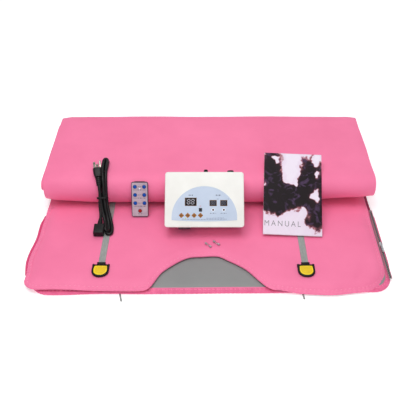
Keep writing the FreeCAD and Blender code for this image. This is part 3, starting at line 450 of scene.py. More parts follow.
def hankPoints():
    waistY, lowY, highY = lead["waist"], -108, 20
    points = []

    def place(x, y, up):
        y, z = draped(y * mm, up * mm)
        points.append(Vector((lead["middleX"] + x * mm, y, z)))

    def strandAt(strand, y):
        sides, ups = strand
        if y < waistY:
            part = ease(waistY, lowY, y)
            return mix(sides[1], sides[0], part), mix(ups[1], ups[0], part)
        part = ease(waistY, highY, y)
        return mix(sides[1], sides[2], part), mix(ups[1], ups[2], part)

    # straight out of the connector's neck
    for along in lead["outOfNeck"]:
        points.append(connectorPlace @ Vector((0, 0, along)))
    for k, strand in enumerate(strands):
        rising = k % 2 == 0
        stations = lead["stations"] if rising else lead["stations"][::-1]
        if k == 0:
            stations = [y for y in stations if y > lead["firstFrom"]]
        if k == len(strands) - 1:
            stations = [y for y in stations if y < lead["lastTo"]]
        for y in stations:
            x, up = strandAt(strand, y)
            place(x, y, up)
        if k < len(strands) - 1:
            turns = lead["highTurns"] if rising else lead["lowTurns"]
            turnY = turns[k // 2]
            for side in (strand, strands[k + 1]):
                x, up = strandAt(side, turnY)
                place(x, turnY, up)
    # and straight into the plug's
    place(strands[-1][0][1], lead["waist"] - 3, strands[-1][1][1])
    for along in lead["intoPlug"]:
        points.append(plugPlace @ Vector((0, plug["neckLow"], along)))
    return points


def makePlug():
    # body with finger grips and a ribbed neck, two flat blades and a round earth pin
    whole = bmesh.new()
    body = block((plug["wide"], plug["high"], plug["long"]), (0, 0, plug["long"] / 2), soft=1.2,
                 upright=6.5, segments=3)
    bmesh.ops.bisect_plane(body, geom=body.verts[:] + body.edges[:] + body.faces[:],
                           plane_co=(0, 0, plug["long"] * 0.45), plane_no=(0, 0, 1))
    for vert in body.verts:
        slim = 1 - 0.24 * (1 - ease(0, plug["long"] * 0.6, vert.co.z))
        vert.co.x *= slim
        vert.co.y *= slim
    add(whole, body, 0)
    for k in range(4):
        add(whole, rod(7.4 - 0.5 * k, -4.6 - 5.2 * k, -0.6 - 5.2 * k, soft=0.6,
                       place=Matrix.Translation((0, plug["neckLow"], 0))), 0)
    add(whole, rod(4.4, -plug["neck"], 0, end=6.6,
                   place=Matrix.Translation((0, plug["neckLow"], 0))), 0)
    top = plug["long"]
    pins = bmesh.new()
    for side in (-1, 1):
        blade = block((plug["blade"][0], plug["blade"][1], plug["blade"][2]),
                      (side * plug["spacing"], plug["low"], top + plug["blade"][2] / 2), soft=0.35,
                      segments=2)
        add(pins, blade, 1)
        add(pins, rod(1.55, -0.8, 0.8, around=20,
                      place=Matrix.Translation((side * plug["spacing"], plug["low"], top + 12))
                      @ Matrix.Rotation(math.pi / 2, 4, "Y")), 2)
    add(pins, rod(plug["pin"], top - 0.5, top + 19.5, around=24, soft=0.9,
                  place=Matrix.Translation((0, -plug["pinUp"], 0))), 1)
    bmesh.ops.transform(pins, matrix=Matrix.Rotation(plug["turn"], 4, "Z"), verts=pins.verts)
    add(whole, pins)
    return makePiece("PowerPlug", whole, [cordSkin, brass, glassBlack], "power_lead",
                     plugPlace, ["power_plug"])


def makeConnector():
    # the appliance end: a square moulding with three slots and a tapered ribbed neck
    wide = (connectorBox[1].x - connectorBox[0].x) / mm
    deep = (connectorBox[1].z - connectorBox[0].z) / mm
    whole = bmesh.new()
    shell = block((wide, deep, connector["long"]), (0, 0, connector["long"] / 2), soft=0.9,
                  upright=connector["radius"])
    add(whole, shell, 0)
    for x, y in ((-7, 1.8), (0, -2.2), (7, 1.8)):
        add(whole, block((2.2, 4.6, 0.6), (x, y, -0.05), soft=0.15, segments=1), 1)
    add(whole, rod(6.0, connector["long"] - 0.4, connector["long"] + connector["neck"], end=4.2), 0)
    for k in range(4):
        start = connector["long"] + 2.2 + 4.6 * k
        add(whole, rod(6.2 - 0.45 * k, start, start + 3.2, soft=0.6), 0)
    return makePiece("CordConnector", whole, [cordSkin, glassBlack], "power_lead",
                     connectorPlace, ["cord_connector"])


def makeHankTie():
    # a thin black strap round the waist, with its free end
    tie = dict(wide=25, high=16.4, long=5.0, wall=0.8, aside=2.4 * mm)
    whole = bmesh.new()
    ring = block((tie["wide"], tie["high"], tie["long"]), soft=0, upright=5.0)
    bmesh.ops.delete(ring, geom=[f for f in ring.faces if abs(f.normal.z) > 0.9], context="FACES")
    add(whole, ring, 0)
    add(whole, block((3.4, 1.0, 9), (9.5, -8.6, 6), soft=0.3, segments=1), 0)
    y, z = draped(lead["tie"] * mm, 0.1 * mm)
    lean = lead["slope"]
    place = (Matrix.Translation((lead["middleX"] + tie["aside"], y, z)) @ Matrix.Rotation(lean, 4, "X")
             @ Matrix.Rotation(-math.pi / 2, 4, "X") @ Matrix.Scale(mm, 4))
    piece = makePiece("HankTie", whole, [blackMoulding], "power_lead", place)
    return withModifier(piece, "SOLIDIFY", thickness=tie["wall"] * mm, offset=1.0)


def makePowerLead():
    points = hankPoints()
    line = bpy.data.curves.new("PowerCord", "CURVE")
    line.dimensions = "3D"
    line.bevel_depth = lead["thick"] / 2
    line.bevel_resolution = 5
    line.use_fill_caps = True
    spline = line.splines.new("NURBS")
    spline.points.add(len(points) - 1)
    for spot, point in zip(spline.points, points):
        spot.co = (*point, 1)
    spline.order_u = 3
    spline.use_endpoint_u = True
    spline.resolution_u = 8
    line.materials.append(cordSkin)
    cord = bpy.data.objects.new("PowerCord", line)
    bpy.context.scene.collection.objects.link(cord)
    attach(cord, "power_lead")
    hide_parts("power_cord_hank")
    makePlug()
    makeConnector()
    makeHankTie()


makePowerLead()
print("power lead made")


# the two quilted panels: outlines, heights, then one long mesh each that runs on into the roll

# front edges in millimetres: place across, and how far behind the foremost line
lowerEdge = ((-400, 3), (-316, 1), (-261, 4.5), (-220, 5.5), (-144, 4), (4, 6), (156, 7.8),
             (270, 8), (324, 9.5), (377, 10.5), (400, 11))
upperEdge = ((-400, 7), (-345, 8), (-300, 7.5), (-261, 5.5), (-190, 4), (-130, 5), (139, 7),
             (170, 6), (217, 0), (270, -2.3), (324, 5), (360, 9), (400, 12))
# the neck cut-out: place across, and how far it reaches back from the front
neckEdge = ((-140, 0), (-129, 2), (-119, 17), (-111, 38), (-103, 51), (-89, 64.5), (-72, 79),
            (-54, 91.6), (-37, 98), (-12, 99), (10, 101), (27, 99.6), (41, 89), (55, 80), (69, 71),
            (90, 53), (103, 35), (124, 9.7), (137, 0))
lowerHalf = flat[1].x
upperHalf = lowerHalf - 9 * mm
upperBase = panel["thick"] + panel["gap"]
lowerCorners, upperCorners = (50 * mm, 38 * mm), (26 * mm, 56 * mm)


def fromTable(table, x, window):
    # straight lines between the table's points, averaged over a window so corners are round
    total = 0.0
    for step in (-1, -0.5, 0, 0.5, 1):
        at = x / mm + step * window
        if at <= table[0][0]:
            total += table[0][1]
            continue
        if at >= table[-1][0]:
            total += table[-1][1]
            continue
        for (x1, y1), (x2, y2) in zip(table, table[1:]):
            if x1 <= at <= x2:
                total += mix(y1, y2, (at - x1) / (x2 - x1))
                break
    return total / 5 * mm


def cornerShift(x, half, corners):
    corner = corners[0] if x < 0 else corners[1]
    over = min(max(abs(x) - (half - corner), 0.0), corner)
    return corner - math.sqrt(corner * corner - over * over)


def lowerFront(x):
    return (frontY + cornerShift(x, lowerHalf, lowerCorners) + fromTable(lowerEdge, x, 22)
            + 0.6 * mm * wave(x * 11, 0.3))


def upperFront(x):
    return (frontY + cornerShift(x, upperHalf, upperCorners) + fromTable(upperEdge, x, 18)
            + fromTable(neckEdge, x, 7) + 0.9 * mm * wave(x * 14, 2.2))


def leftBulge(y):
    return -10 * bell(-0.195, 0.055, y) - 2.5 * bell(-0.085, 0.030, y)


def lowerSide(x, y):
    # how far the lower panel's edge stands out beyond its pattern
    if x < 0:
        push = 0.7 * leftBulge(y) + 3 + 6 * (1 - ease(-0.27, -0.22, y))
    else:
        push = 9 * ease(-0.275, -0.195, y) * (1 - 0.5 * ease(-0.05, -0.02, y))
    return push * mm * (abs(x) / lowerHalf) ** 6


def upperSide(x, y):
    if x < 0:
        push = leftBulge(y) - 4 - 4 * (1 - ease(-0.272, -0.240, y))
    else:
        push = 3.0 * ease(-0.27, -0.20, y)
    return push * mm * (abs(x) / upperHalf) ** 6


def edgeDistance(x, y, half, front):
    step = 2 * mm
    slope = (front(x + step) - front(x - step)) / (2 * step)
    return max(min(half - abs(x), (y - front(x)) / math.sqrt(1 + slope * slope)), 0.0)


def quilted(edge):
    return panel["hem"] + (panel["thick"] - panel["hem"]) * ease(0, panel["crown"], edge)


def softness(x, y, edge):
    # broad soft unevenness of the filling, and a low crease across the right corner
    broad = 1.1 * wave(x * 5, y * 8, 0.7) + 0.6 * wave(x * 14, y * 10, 2.9)
    along = (x - 0.325) * 0.55 + (y + 0.262) * 0.83
    across = -(x - 0.325) * 0.83 + (y + 0.262) * 0.55
    crease = -2.6 * bell(0, 0.006, across) * bell(0, 0.035, along)
    crease += 1.6 * bell(0.012, 0.008, across) * bell(0, 0.040, along)
    along2 = x - 0.352
    crease -= 1.8 * bell(0, 0.007, along2) * bell(-0.225, 0.045, y)
    return (broad * (1 - ease(-0.10, -0.04, y)) + crease) * mm * ease(0, 0.04, edge)


def upperLift(x, y, edge):
    # the rim gapes round the neck and at the left corner, and hangs over the panel below it
    # along the right-hand lobe
    if y > -0.09:
        return -3.0 * mm * (1 - ease(0, 0.035, edge)) * (1 - ease(-0.07, -0.035, y))
    neckRim = 1 - ease(0.125, 0.150, abs(x))
    leftRim = 1 - ease(-0.30, -0.25, x)
    rightRim = ease(0.150, 0.200, x)
    level = 1.2 * neckRim + 1.6 * leftRim - 7.6 * rightRim - 1.2 * (1 - neckRim) * (x < 0)
    if abs(x) > 0.36:
        level = mix(level, -3.0, ease(-0.25, -0.22, y))
    reach = 0.018 if x > 0.15 else 0.035
    return level * mm * (1 - ease(0, reach, edge))


def upperLevels(x, y):
    edge = edgeDistance(x, y, upperHalf, upperFront)
    low = upperBase + upperLift(x, y, edge)
    return low + quilted(edge) + softness(x, y, edge), low


def lowerLevels(x, y):
    edge = edgeDistance(x, y, lowerHalf, lowerFront)
    return quilted(edge), 0.0


def lapPath(runSteps, turnSteps):
    # the roll's outer skin from where the flat part ends, inwards: y, z, outward y and z, lap
    spots = []

    def run(fromY, toY, z, out, lap):
        for k in range(runSteps):
            spots.append((mix(fromY, toY, k / runSteps), z, 0.0, out, lap))

    def turn(y, z, radius, side, lap):
        for k in range(turnSteps):
            angle = math.pi * k / turnSteps
            outY, outZ = side * math.sin(angle), -side * math.cos(angle)
            spots.append((y + radius * outY, z + radius * outZ, outY, outZ, lap))

    for lap in range(2):
        drop = lap * panel["lap"]
        turn(backY - backRadius, backRadius, backRadius - drop, 1, lap)
        run(backY - backRadius, noseY, rollHigh - drop, 1.0, lap)
        turn(noseY, noseHigh, noseRadius - drop, -1, lap)
        run(noseY, backY - backRadius, panel["lap"] * (lap + 1), -1.0, lap + 1)
    spots.append((backY - backRadius - 6 * mm, panel["lap"] * 2, 0.0, -1.0, 2))
    return spots


def rollSwell(x, spot):
    # soft unevenness of the roll's outer lap: broad waves, creases towards the ends
    y, z, outY, outZ, lap = spot
    if lap > 0 or outZ < -0.99 and y > noseY + 0.02:
        return 0.0
    along = y + z * 0.7
    broad = 1.7 * wave(x * 4.2, along * 7.0, 3.1) + 0.9 * wave(x * 10, along * 9, 8.2)
    crease = 1.2 * wave(x * 32, along * 4.0, 1.7) * ease(0.27, 0.39, abs(x))
    crown = 1.2 * math.cos(x / lowerHalf * math.pi / 2)
    # the things lying on the roll keep it smooth below them
    free = max(ease(0.27, 0.33, abs(x)), ease(0.06, 0.13, y))
    return (crown + broad + crease) * mm * ease(-1.0, -0.5, outZ) * mix(0.08, 1.0, free)


def endLift(x, spot):
    # towards both ends the nose draws back and lifts off the flat part
    y, z, outY, outZ, lap = spot
    if y > noseY + 0.13:
        return 0.0, 0.0
    weight = (0.5 - 0.5 * outZ) * (1 - ease(noseY, noseY + 0.12, y))
    right, left = ease(0.12, 0.42, x), ease(-0.26, -0.43, x)
    return (10 * right + 5 * left) * mm * weight, (13 * right + 7 * left) * mm * weight


def lapEnd(x, spot, half):
    # each lap's end stands out by its own amount, wavering a little
    y, z, outY, outZ, lap = spot
    if x < 0:
        out = -(-3.0, 7.5, 4.0)[lap] - 2.2 * wave(y * 12, z * 12, 4.0 + lap)
    else:
        out = (4.0, 0.5, 2.0)[lap] + 2.2 * wave(y * 12, z * 12, 9.0 + lap)
    start = ease(0.0, 0.06, abs(y - (backY - backRadius)) + z) if lap == 0 else 1.0
    return x + out * mm * (abs(x) / half) ** 8 * start


def columnsFor(half, corners, step, innerTo=0.0, innerStep=1.0):
    # column places from edge to edge, closer at the neck and round the corners
    sides = []
    for corner in corners:
        places, turns = [0.0], 8
        while places[-1] < half - corner - 0.1 * mm:
            gap = innerStep if places[-1] < innerTo else step
            places.append(min(places[-1] + gap, half - corner))
        sides.append(places + [half - corner + corner * math.sin(math.pi / 2 * k / turns)
                               for k in range(1, turns + 1)])
    return [-x for x in reversed(sides[0][1:])] + sides[1]


def evenly(low, high, step):
    count = max(1, round((high - low) / step))
    return [mix(low, high, k / count) for k in range(count)]


def sheetPoint(x, row, shape, shell):
    # the inner and outer skin's points at a column and a row
    kind, spot = row
    half = shape["half"]
    if kind == "roll":
        y, z, outY, outZ, lap = spot
        edge = half - abs(x)
        thin = (panel["thick"] - quilted(edge)) / 2
        near, far = shell[0] + thin, shell[1] - thin
        swell = rollSwell(x, spot) if shell[0] == 0 else 0.0
        back, lift = endLift(x, spot)
        y, z = y + back, z + lift
        x = lapEnd(x, spot, half)
        return (Vector((x, y + outY * (swell - far), z + outZ * (swell - far))),
                Vector((x, y + outY * (swell - near), z + outZ * (swell - near))))
    start = shape["front"](x)
    base = frontY + 4 * mm
    y = base + spot + (start - base) * (1 - ease(0, 0.20, spot))
    top, low = shape["levels"](x, y)
    out = shape["side"](x, y)
    return Vector((x + out, y, top)), Vector((x + out, y, low))


def sheetMesh(columns, rows, point, topFinish, lowFinish, edgeWidth):
    # a closed padded sheet: a grid laid over the columns and rows, its copy below, rims bridged
    bm = bmesh.new()
    across, along = len(columns) - 1, len(rows) - 1
    bmesh.ops.create_grid(bm, x_segments=across, y_segments=along, size=1.0)
    order = sorted(bm.verts, key=lambda v: (round(v.co.y, 5), round(v.co.x, 5)))
    places = {}
    for k, vert in enumerate(order):
        row, column = divmod(k, across + 1)
        top, low = point(columns[column], rows[row])
        vert.co = top
        places[vert] = (low, min(column, across - column), row)
    faces = list(bm.faces)
    for face in faces:
        near = min(min(places[v][1], places[v][2]) for v in face.verts)
        face.material_index = topFinish if near >= edgeWidth else 0
    made = bmesh.ops.duplicate(bm, geom=faces)
    for vert, (low, column, row) in places.items():
        made["vert_map"][vert].co = low
    under = [item for item in made["geom"] if isinstance(item, bmesh.types.BMFace)]
    bmesh.ops.reverse_faces(bm, faces=under)
    for face in under:
        face.material_index = lowFinish
    bridged = bmesh.ops.bridge_loops(bm, edges=[e for e in bm.edges if e.is_boundary])
    for face in bridged["faces"]:
        face.material_index = 0
    bmesh.ops.recalc_face_normals(bm, faces=bm.faces)
    return bm


def makePanel(name, shape, shell, columns, starts, path, finishes, cloth, stands):
    rows = [("flat", d) for d in starts] + [("roll", spot) for spot in path]
    bm = sheetMesh(columns, rows, lambda x, row: sheetPoint(x, row, shape, shell), *finishes,
                   edgeWidth=3)
    piece = makePiece(name, bm, [cloth, greyLining], None, stands=stands, sharp=0)
    return withModifier(piece, "SUBSURF", levels=1, render_levels=1)


lowerShape = dict(half=lowerHalf, corners=lowerCorners, front=lowerFront, levels=lowerLevels,
                  side=lowerSide)
upperShape = dict(half=upperHalf, corners=upperCorners, front=upperFront, levels=upperLevels,
                  side=upperSide)

# painted shade under the nose, where the roll closes on the flat part: its colour, heights, and reach to
# both sides along Y
nipShade = dict(deep=tint(150, 14, 74), low=20.0 * mm, high=33.0 * mm, reach=45 * mm)


def paintNipShade(material):
    # painted shade: the cloth's colour is darkened under the nose, where the roll closes on the flat
    # part
    tree = material.node_tree
    shader = tree.nodes["Principled BSDF"]
    cloth = shader.inputs["Base Color"].links[0].from_socket
    spot = node(tree, "ShaderNodeTexCoord").outputs["Object"]
    apart = node(tree, "ShaderNodeSeparateXYZ", [("Vector", spot)])
    high = node(tree, "ShaderNodeMapRange", [("Value", apart.outputs["Z"])])
    for socket, value in (("From Min", nipShade["low"]), ("From Max", nipShade["high"]), ("To Min", 1.0),
                          ("To Max", 0.0)):
        high.inputs[socket].default_value = value
    near = node(tree, "ShaderNodeMath", [(0, apart.outputs["Y"])], operation="COMPARE")
    near.inputs[1].default_value = noseY
    near.inputs[2].default_value = nipShade["reach"]
    part = node(tree, "ShaderNodeMath", [(0, high.outputs["Result"]), (1, near.outputs["Value"])],
                operation="MULTIPLY")
    # mixes the painted shade colour into the cloth by that mask
    nipShadeMix = node(tree, "ShaderNodeMix", [(0, part.outputs["Value"]), (6, cloth)], data_type="RGBA")
    nipShadeMix.inputs[7].default_value = (*nipShade["deep"], 1)
    tree.links.new(nipShadeMix.outputs[2], shader.inputs["Base Color"])


def makePanels():
    # the lower panel's cloth gets painted shade under the nose
    paintNipShade(pinkNipShaded)
    flatLong = backY - backRadius - frontY - 4 * mm
    starts = ([0, 3 * mm, 7 * mm, 12 * mm, 18 * mm] + evenly(25 * mm, 130 * mm, 10 * mm)
              + evenly(130 * mm, flatLong, 26 * mm))
    lower = makePanel("LowerPanel", lowerShape, (0.0, panel["thick"]),
                      columnsFor(lowerHalf, lowerCorners, 13 * mm), starts, lapPath(12, 14),
                      (1, 0), pinkNipShaded,
                      ["lower_cover", "lower_insulation", "lower_heating_film", "lower_lining",
                       "rolled_lower_cover", "rolled_lower_insulation"])
    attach(lower, "blanket")
    starts = ([0, 2.5 * mm, 6 * mm, 10 * mm, 15 * mm, 21 * mm] + evenly(28 * mm, 300 * mm, 7.5 * mm)
              + evenly(300 * mm, flatLong, 60 * mm))
    upper = makePanel("UpperPanel", upperShape, (upperBase, upperBase + panel["thick"]),
                      columnsFor(upperHalf, upperCorners, 9.5 * mm, 145 * mm, 5.5 * mm), starts,
                      lapPath(4, 10), (0, 1), pink,
                      ["flap_cover", "flap_insulation", "flap_lining", "upper_cover",
                       "upper_lining", "upper_heating_film", "upper_insulation",
                       "rolled_upper_insulation"])
    acrossFold(upper)


def acrossFold(piece):
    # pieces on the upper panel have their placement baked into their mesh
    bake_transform(piece)


# hems: a folded band of cover cloth along the edge, puckered where the stitches pull

hem = dict(wide=10.5 * mm, stitch=7.2 * mm, step=2.3 * mm, pitch=9.8 * mm, pucker=0.75 * mm)


def outline(shape, sideTo):
    # the panel's edge seen from above, from the left side round the front to the right side:
    # each point in its pattern place, with the place it lies in
    half, front, side = shape["half"], shape["front"], shape["side"]
    left, right = shape["corners"]
    spots = [(-half, mix(sideTo, front(-half), k / 90)) for k in range(90)]
    turn = [1 - math.cos(math.pi / 2 * k / 24) for k in range(25)]
    across = [-half + left * part for part in turn]
    across += [mix(-half + left, half - right, k / 520) for k in range(1, 520)]
    across += [half - right * part for part in reversed(turn)]
    spots += [(x, front(x)) for x in across]
    spots += [(half, mix(front(half), sideTo, k / 90)) for k in range(1, 91)]
    return [Vector((x, y, x + side(x, y))) for x, y in spots]


def resampled(spots, step):
    lengths = [0.0]
    for first, second in zip(spots, spots[1:]):
        lengths.append(lengths[-1] + (second - first).xy.length)
    count = round(lengths[-1] / step)
    even, k = [], 0
    for n in range(count + 1):
        at = lengths[-1] * n / count
        while k < len(lengths) - 2 and lengths[k + 1] < at:
            k += 1
        part = (at - lengths[k]) / max(lengths[k + 1] - lengths[k], 1e-9)
        even.append(spots[k].lerp(spots[k + 1], min(max(part, 0), 1)))
    return even


def inwardNormals(spots):
    normals = []
    for k in range(len(spots)):
        ahead, back = spots[min(k + 3, len(spots) - 1)], spots[max(k - 3, 0)]
        along = (ahead - back).xy.normalized()
        normals.append(Vector((-along.y, along.x)))
    return normals


def makeHem(name, shape, body, sideTo, salt, finish):
    # cross-section from the inner top line over the edge to the inner bottom line:
    # how far in, how high between bottom (0) and top (1), how far proud, how much it puckers
    section = ((1.05, 1, -0.15, 0), (0.98, 1, 0.45, 0.2), (0.72, 1, 0.1, -0.9), (0.48, 1, 0.75, 1),
               (0.18, 1, 0.6, 0.8), (-0.06, 0.8, 0.1, 0.4), (-0.10, 0.42, 0, 0.2),
               (-0.03, 0.05, 0, 0), (0.3, 0, -0.15, 0), (0.9, 0, -0.1, 0))
    spots = resampled(outline(shape, sideTo), hem["step"])
    normals = inwardNormals(spots)
    levels = shape["levels"]
    bm = bmesh.new()
    bmesh.ops.create_grid(bm, x_segments=len(section) - 1, y_segments=len(spots) - 1, size=1.0)
    order = sorted(bm.verts, key=lambda v: (round(v.co.y, 5), round(v.co.x, 5)))
    for k, vert in enumerate(order):
        row, column = divmod(k, len(section))
        inward, share, proud, puckers = section[column]
        spot, shift, normal = spots[row].xy, spots[row].z - spots[row].x, normals[row]
        run = row * hem["step"]
        strength = 0.45 + 0.55 * ease(-0.25, 0.3, wave(run * 9, salt, 0.4))
        ripple = math.cos(2 * math.pi * run / hem["pitch"] + 1.2 * wave(run * 22, salt, 2.0))
        flatSpot = spot + normal * (inward * hem["wide"])
        if inward < 0.2:
            flatSpot -= normal * (0.35 * mm * ripple * strength)
        top, low = levels(*(spot + normal * max(inward * hem["wide"], 0.4 * mm)))
        z = mix(low, top, share) + proud * mm
        z += puckers * hem["pucker"] * strength * (ripple if puckers > 0 else 0.5 - 0.5 * ripple)
        vert.co = (flatSpot.x + shift, flatSpot.y, max(z, 0.1 * mm))
    bmesh.ops.recalc_face_normals(bm, faces=bm.faces)
    piece = makePiece(name, bm, [finish], None, sharp=0)
    upward = sum(p.normal.z * p.area for p in piece.data.polygons)
    if upward < 0:
        piece.data.flip_normals()
    applied(withModifier(withModifier(piece, "SOLIDIFY", thickness=0.8 * mm, offset=-1.0),
                         "SUBSURF", levels=1, render_levels=1))
    makeStitches(name + "Stitches", spots, normals, levels, body)
    if body:
        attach(piece, body)
    else:
        acrossFold(piece)
    return piece


def makeStitches(name, spots, normals, levels, body):
    # one small thread capsule for each stitch, sunk in the puckers' valleys
    whole = bmesh.new()
    every = hem["pitch"]
    count = int((len(spots) - 1) * hem["step"] / every)
    for k in range(count):
        index = min(int(k * every / hem["step"]), len(spots) - 2)
        spot, shift, normal = spots[index].xy, spots[index].z - spots[index].x, normals[index]
        along = (spots[index + 1].xy - spot).normalized()
        centre = spot + normal * hem["stitch"]
        top = levels(*centre)[0]
        centre.x += shift
        part = bmesh.new()
        bmesh.ops.create_uvsphere(part, u_segments=6, v_segments=4, radius=1.0)
        bmesh.ops.scale(part, vec=(2.4 * mm, 0.5 * mm, 0.4 * mm), verts=part.verts)
        bmesh.ops.rotate(part, matrix=Matrix.Rotation(math.atan2(along.y, along.x), 3, "Z"),
                         cent=(0, 0, 0), verts=part.verts)
        bmesh.ops.translate(part, vec=(centre.x, centre.y, top + 0.35 * mm), verts=part.verts)
        add(whole, part)
    piece = makePiece(name, whole, [hemThread], body, sharp=0)
    if not body:
        acrossFold(piece)
    return piece


makePanels()
print("panels and roll made")
# the lower hem takes the deeper pink, painted shade
makeHem("LowerHem", lowerShape, "blanket", -0.020, 1.0, pinkHemShaded)
makeHem("UpperHem", upperShape, None, -0.020, 5.0, pink)
print("hems made")


# straps, keepers, pulls and tails

strap = dict(wide=15 * mm, thick=1.2 * mm, ribs=5, rib=0.35 * mm, far=-0.0033, near=-0.2234)
pullAxis = {side: Vector(joints[f"{side}_pull_flip"]["pos_m"]) for side in ("left", "right")}


def makeStraps():
    # ribbed webbing lying on the upper panel
    lengthwise = evenly(strap["near"], strap["far"], 7 * mm) + [strap["far"]]
    across = strap["ribs"] * 4
    for side, axis in pullAxis.items():
        bm = bmesh.new()
        bmesh.ops.create_grid(bm, x_segments=across, y_segments=len(lengthwise) - 1, size=1.0)
        order = sorted(bm.verts, key=lambda v: (round(v.co.y, 5), round(v.co.x, 5)))
        for k, vert in enumerate(order):
            row, column = divmod(k, across + 1)
            u = column / across
            rib = strap["rib"] * (0.5 - 0.5 * math.cos(2 * math.pi * strap["ribs"] * u))
            x = axis.x + (u - 0.5) * strap["wide"]
            y = lengthwise[row]
            top = upperLevels(axis.x, y)[0]
            vert.co = (x, y, top + strap["thick"] - strap["rib"] + rib)
        piece = makePiece(side.title() + "Strap", bm, [webbing], None, sharp=0,
                          stands=["pull_straps", "strap_ends"])
        if sum(p.normal.z for p in piece.data.polygons) < 0:
            piece.data.flip_normals()
        applied(withModifier(piece, "SOLIDIFY", thickness=0.9 * mm, offset=-1.0))
        acrossFold(piece)


def makeKeepers():
    low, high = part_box("strap_keepers")
    whole = bmesh.new()
    for axis in pullAxis.values():
        centre = Vector((axis.x, (low.y + high.y) / 2, (low.z + high.z) / 2)) / mm
        size = ((19, (high.y - low.y) / mm, (high.z - low.z) / mm))
        add(whole, block(size, centre, soft=1.1, segments=3))
        add(whole, block((13, 1.1, 0.7), centre + Vector((0, 0, size[2] / 2)), soft=0.3), 0)
    makePiece("StrapKeepers", whole, [blackMoulding], "head_flap",
              Matrix.Scale(mm, 4), ["strap_keepers"])


def dShape(half, long, top, thick, soft):
    # D-shaped plate: straight side at y = top, round side towards -Y
    part = block((2 * half, long, thick), (0, top - long / 2, thick / 2))
    for front, offset, turns in ((True, half * 0.93, 18), (False, 2.6, 6)):
        edges = [e for e in part.edges
                 if all((v.co.y < top - long + 0.01) == front for v in e.verts)
                 and (e.verts[0].co - e.verts[1].co).xy.length < 0.01
                 and (front or e.verts[0].co.y > top - 0.01)]
        bmesh.ops.bevel(part, geom=edges, offset=offset, segments=turns, profile=0.5,
                        affect="EDGES", material=-1)
    if soft:
        softenRims(part, soft)
    return part


def softenRims(part, soft):
    edges = [e for e in part.edges if e.calc_face_angle(0) > 1.2
             and abs(e.verts[0].co.z - e.verts[1].co.z) < 0.01]
    bmesh.ops.bevel(part, geom=edges, offset=soft, segments=3, profile=0.5, affect="EDGES",
                    material=-1)


def openedUp(plate, rim):
    # cuts the middle out of a flat plate and leaves a rim of that width
    caps = [f for f in plate.faces if abs(f.normal.z) > 0.9]
    bmesh.ops.inset_region(plate, faces=caps, thickness=rim, use_even_offset=True)
    bmesh.ops.delete(plate, geom=caps, context="FACES")
    edges = [e for e in plate.edges if e.is_boundary]
    bmesh.ops.bridge_loops(plate, edges=edges)
    bmesh.ops.recalc_face_normals(plate, faces=plate.faces)


def makePulls():
    pull = dict(half=19, long=36, bar=4.4, rim=4.4, thick=4.5, rise=0.6, ear=2.6)
    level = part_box("left_pull_frame")[0].z
    for side, axis in pullAxis.items():
        place = Matrix.Translation((axis.x, axis.y, level)) @ Matrix.Scale(mm, 4)
        frameBm = bmesh.new()
        plate = dShape(pull["half"], pull["long"], pull["bar"] / 2, pull["thick"], 0)
        openedUp(plate, pull["rim"])
        softenRims(plate, 1.3)
        add(frameBm, plate, 0)
        for x in (-1, 1):
            add(frameBm, rod(pull["ear"], 0.3, pull["thick"] - 0.2, soft=0.9, around=20,
                             place=Matrix.Translation((x * (pull["half"] - 2.2),
                                                       pull["bar"] / 2 - 1.2, 0))), 0)
        makePiece(side.title() + "PullFrame", frameBm, [blackMoulding], f"{side}_pull",
                  place, [f"{side}_pull_frame"])
        insert = bmesh.new()
        shape = (pull["half"] - pull["rim"] + 0.2, pull["long"] - pull["rim"] - pull["bar"] + 0.4)
        top = -pull["bar"] / 2 + 0.2
        add(insert, dShape(*shape, top, 3.4, 0.5), 0)
        add(insert, dShape(shape[0] - 3.0, shape[1] - 6.5, top - 3.4, 3.75, 0.15), 1)
        for k in range(3):
            add(insert, block((15 - 3.5 * k, 0.7, 0.5), (0, top - 8 - 4.2 * k, 3.8), soft=0.15), 0)
        makePiece(side.title() + "PullInsert", insert, [yellowInlay, yellowPanel], f"{side}_pull",
                  place @ Matrix.Translation((0, 0, 0.6)),
                  [f"{side}_pull_insert"])


def makeTails():
    # two narrow tape ends that stick out from under the front edge
    low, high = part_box("tie_tails")
    whole = bmesh.new()
    for x, long, drift in ((low.x + 2.5 * mm, high.y - low.y, 6.5), (high.x - 2.5 * mm, 10 * mm, 3.0)):
        strip = bmesh.new()
        bmesh.ops.create_grid(strip, x_segments=2, y_segments=10, size=1.0)
        start = lowerFront(x) + 6 * mm
        reach = start - high.y + long
        for vert in strip.verts:
            down = (1 - vert.co.y) / 2
            side = vert.co.x * 2.0 * mm
            vert.co = (x + side + drift * mm * down, start - reach * down,
                       (0.9 + 0.5 * math.sin(down * 5)) * mm)
        add(whole, strip)
    piece = makePiece("TieTails", whole, [webbing], "blanket", stands=["tie_tails"],
                      sharp=0)
    if sum(p.normal.z for p in piece.data.polygons) < 0:
        piece.data.flip_normals()
    withModifier(piece, "SOLIDIFY", thickness=0.8 * mm, offset=0.0)


makeStraps()
makeKeepers()
makePulls()
makeTails()
print("straps and pulls made")


# the folded gusset on the left and the zip on the right

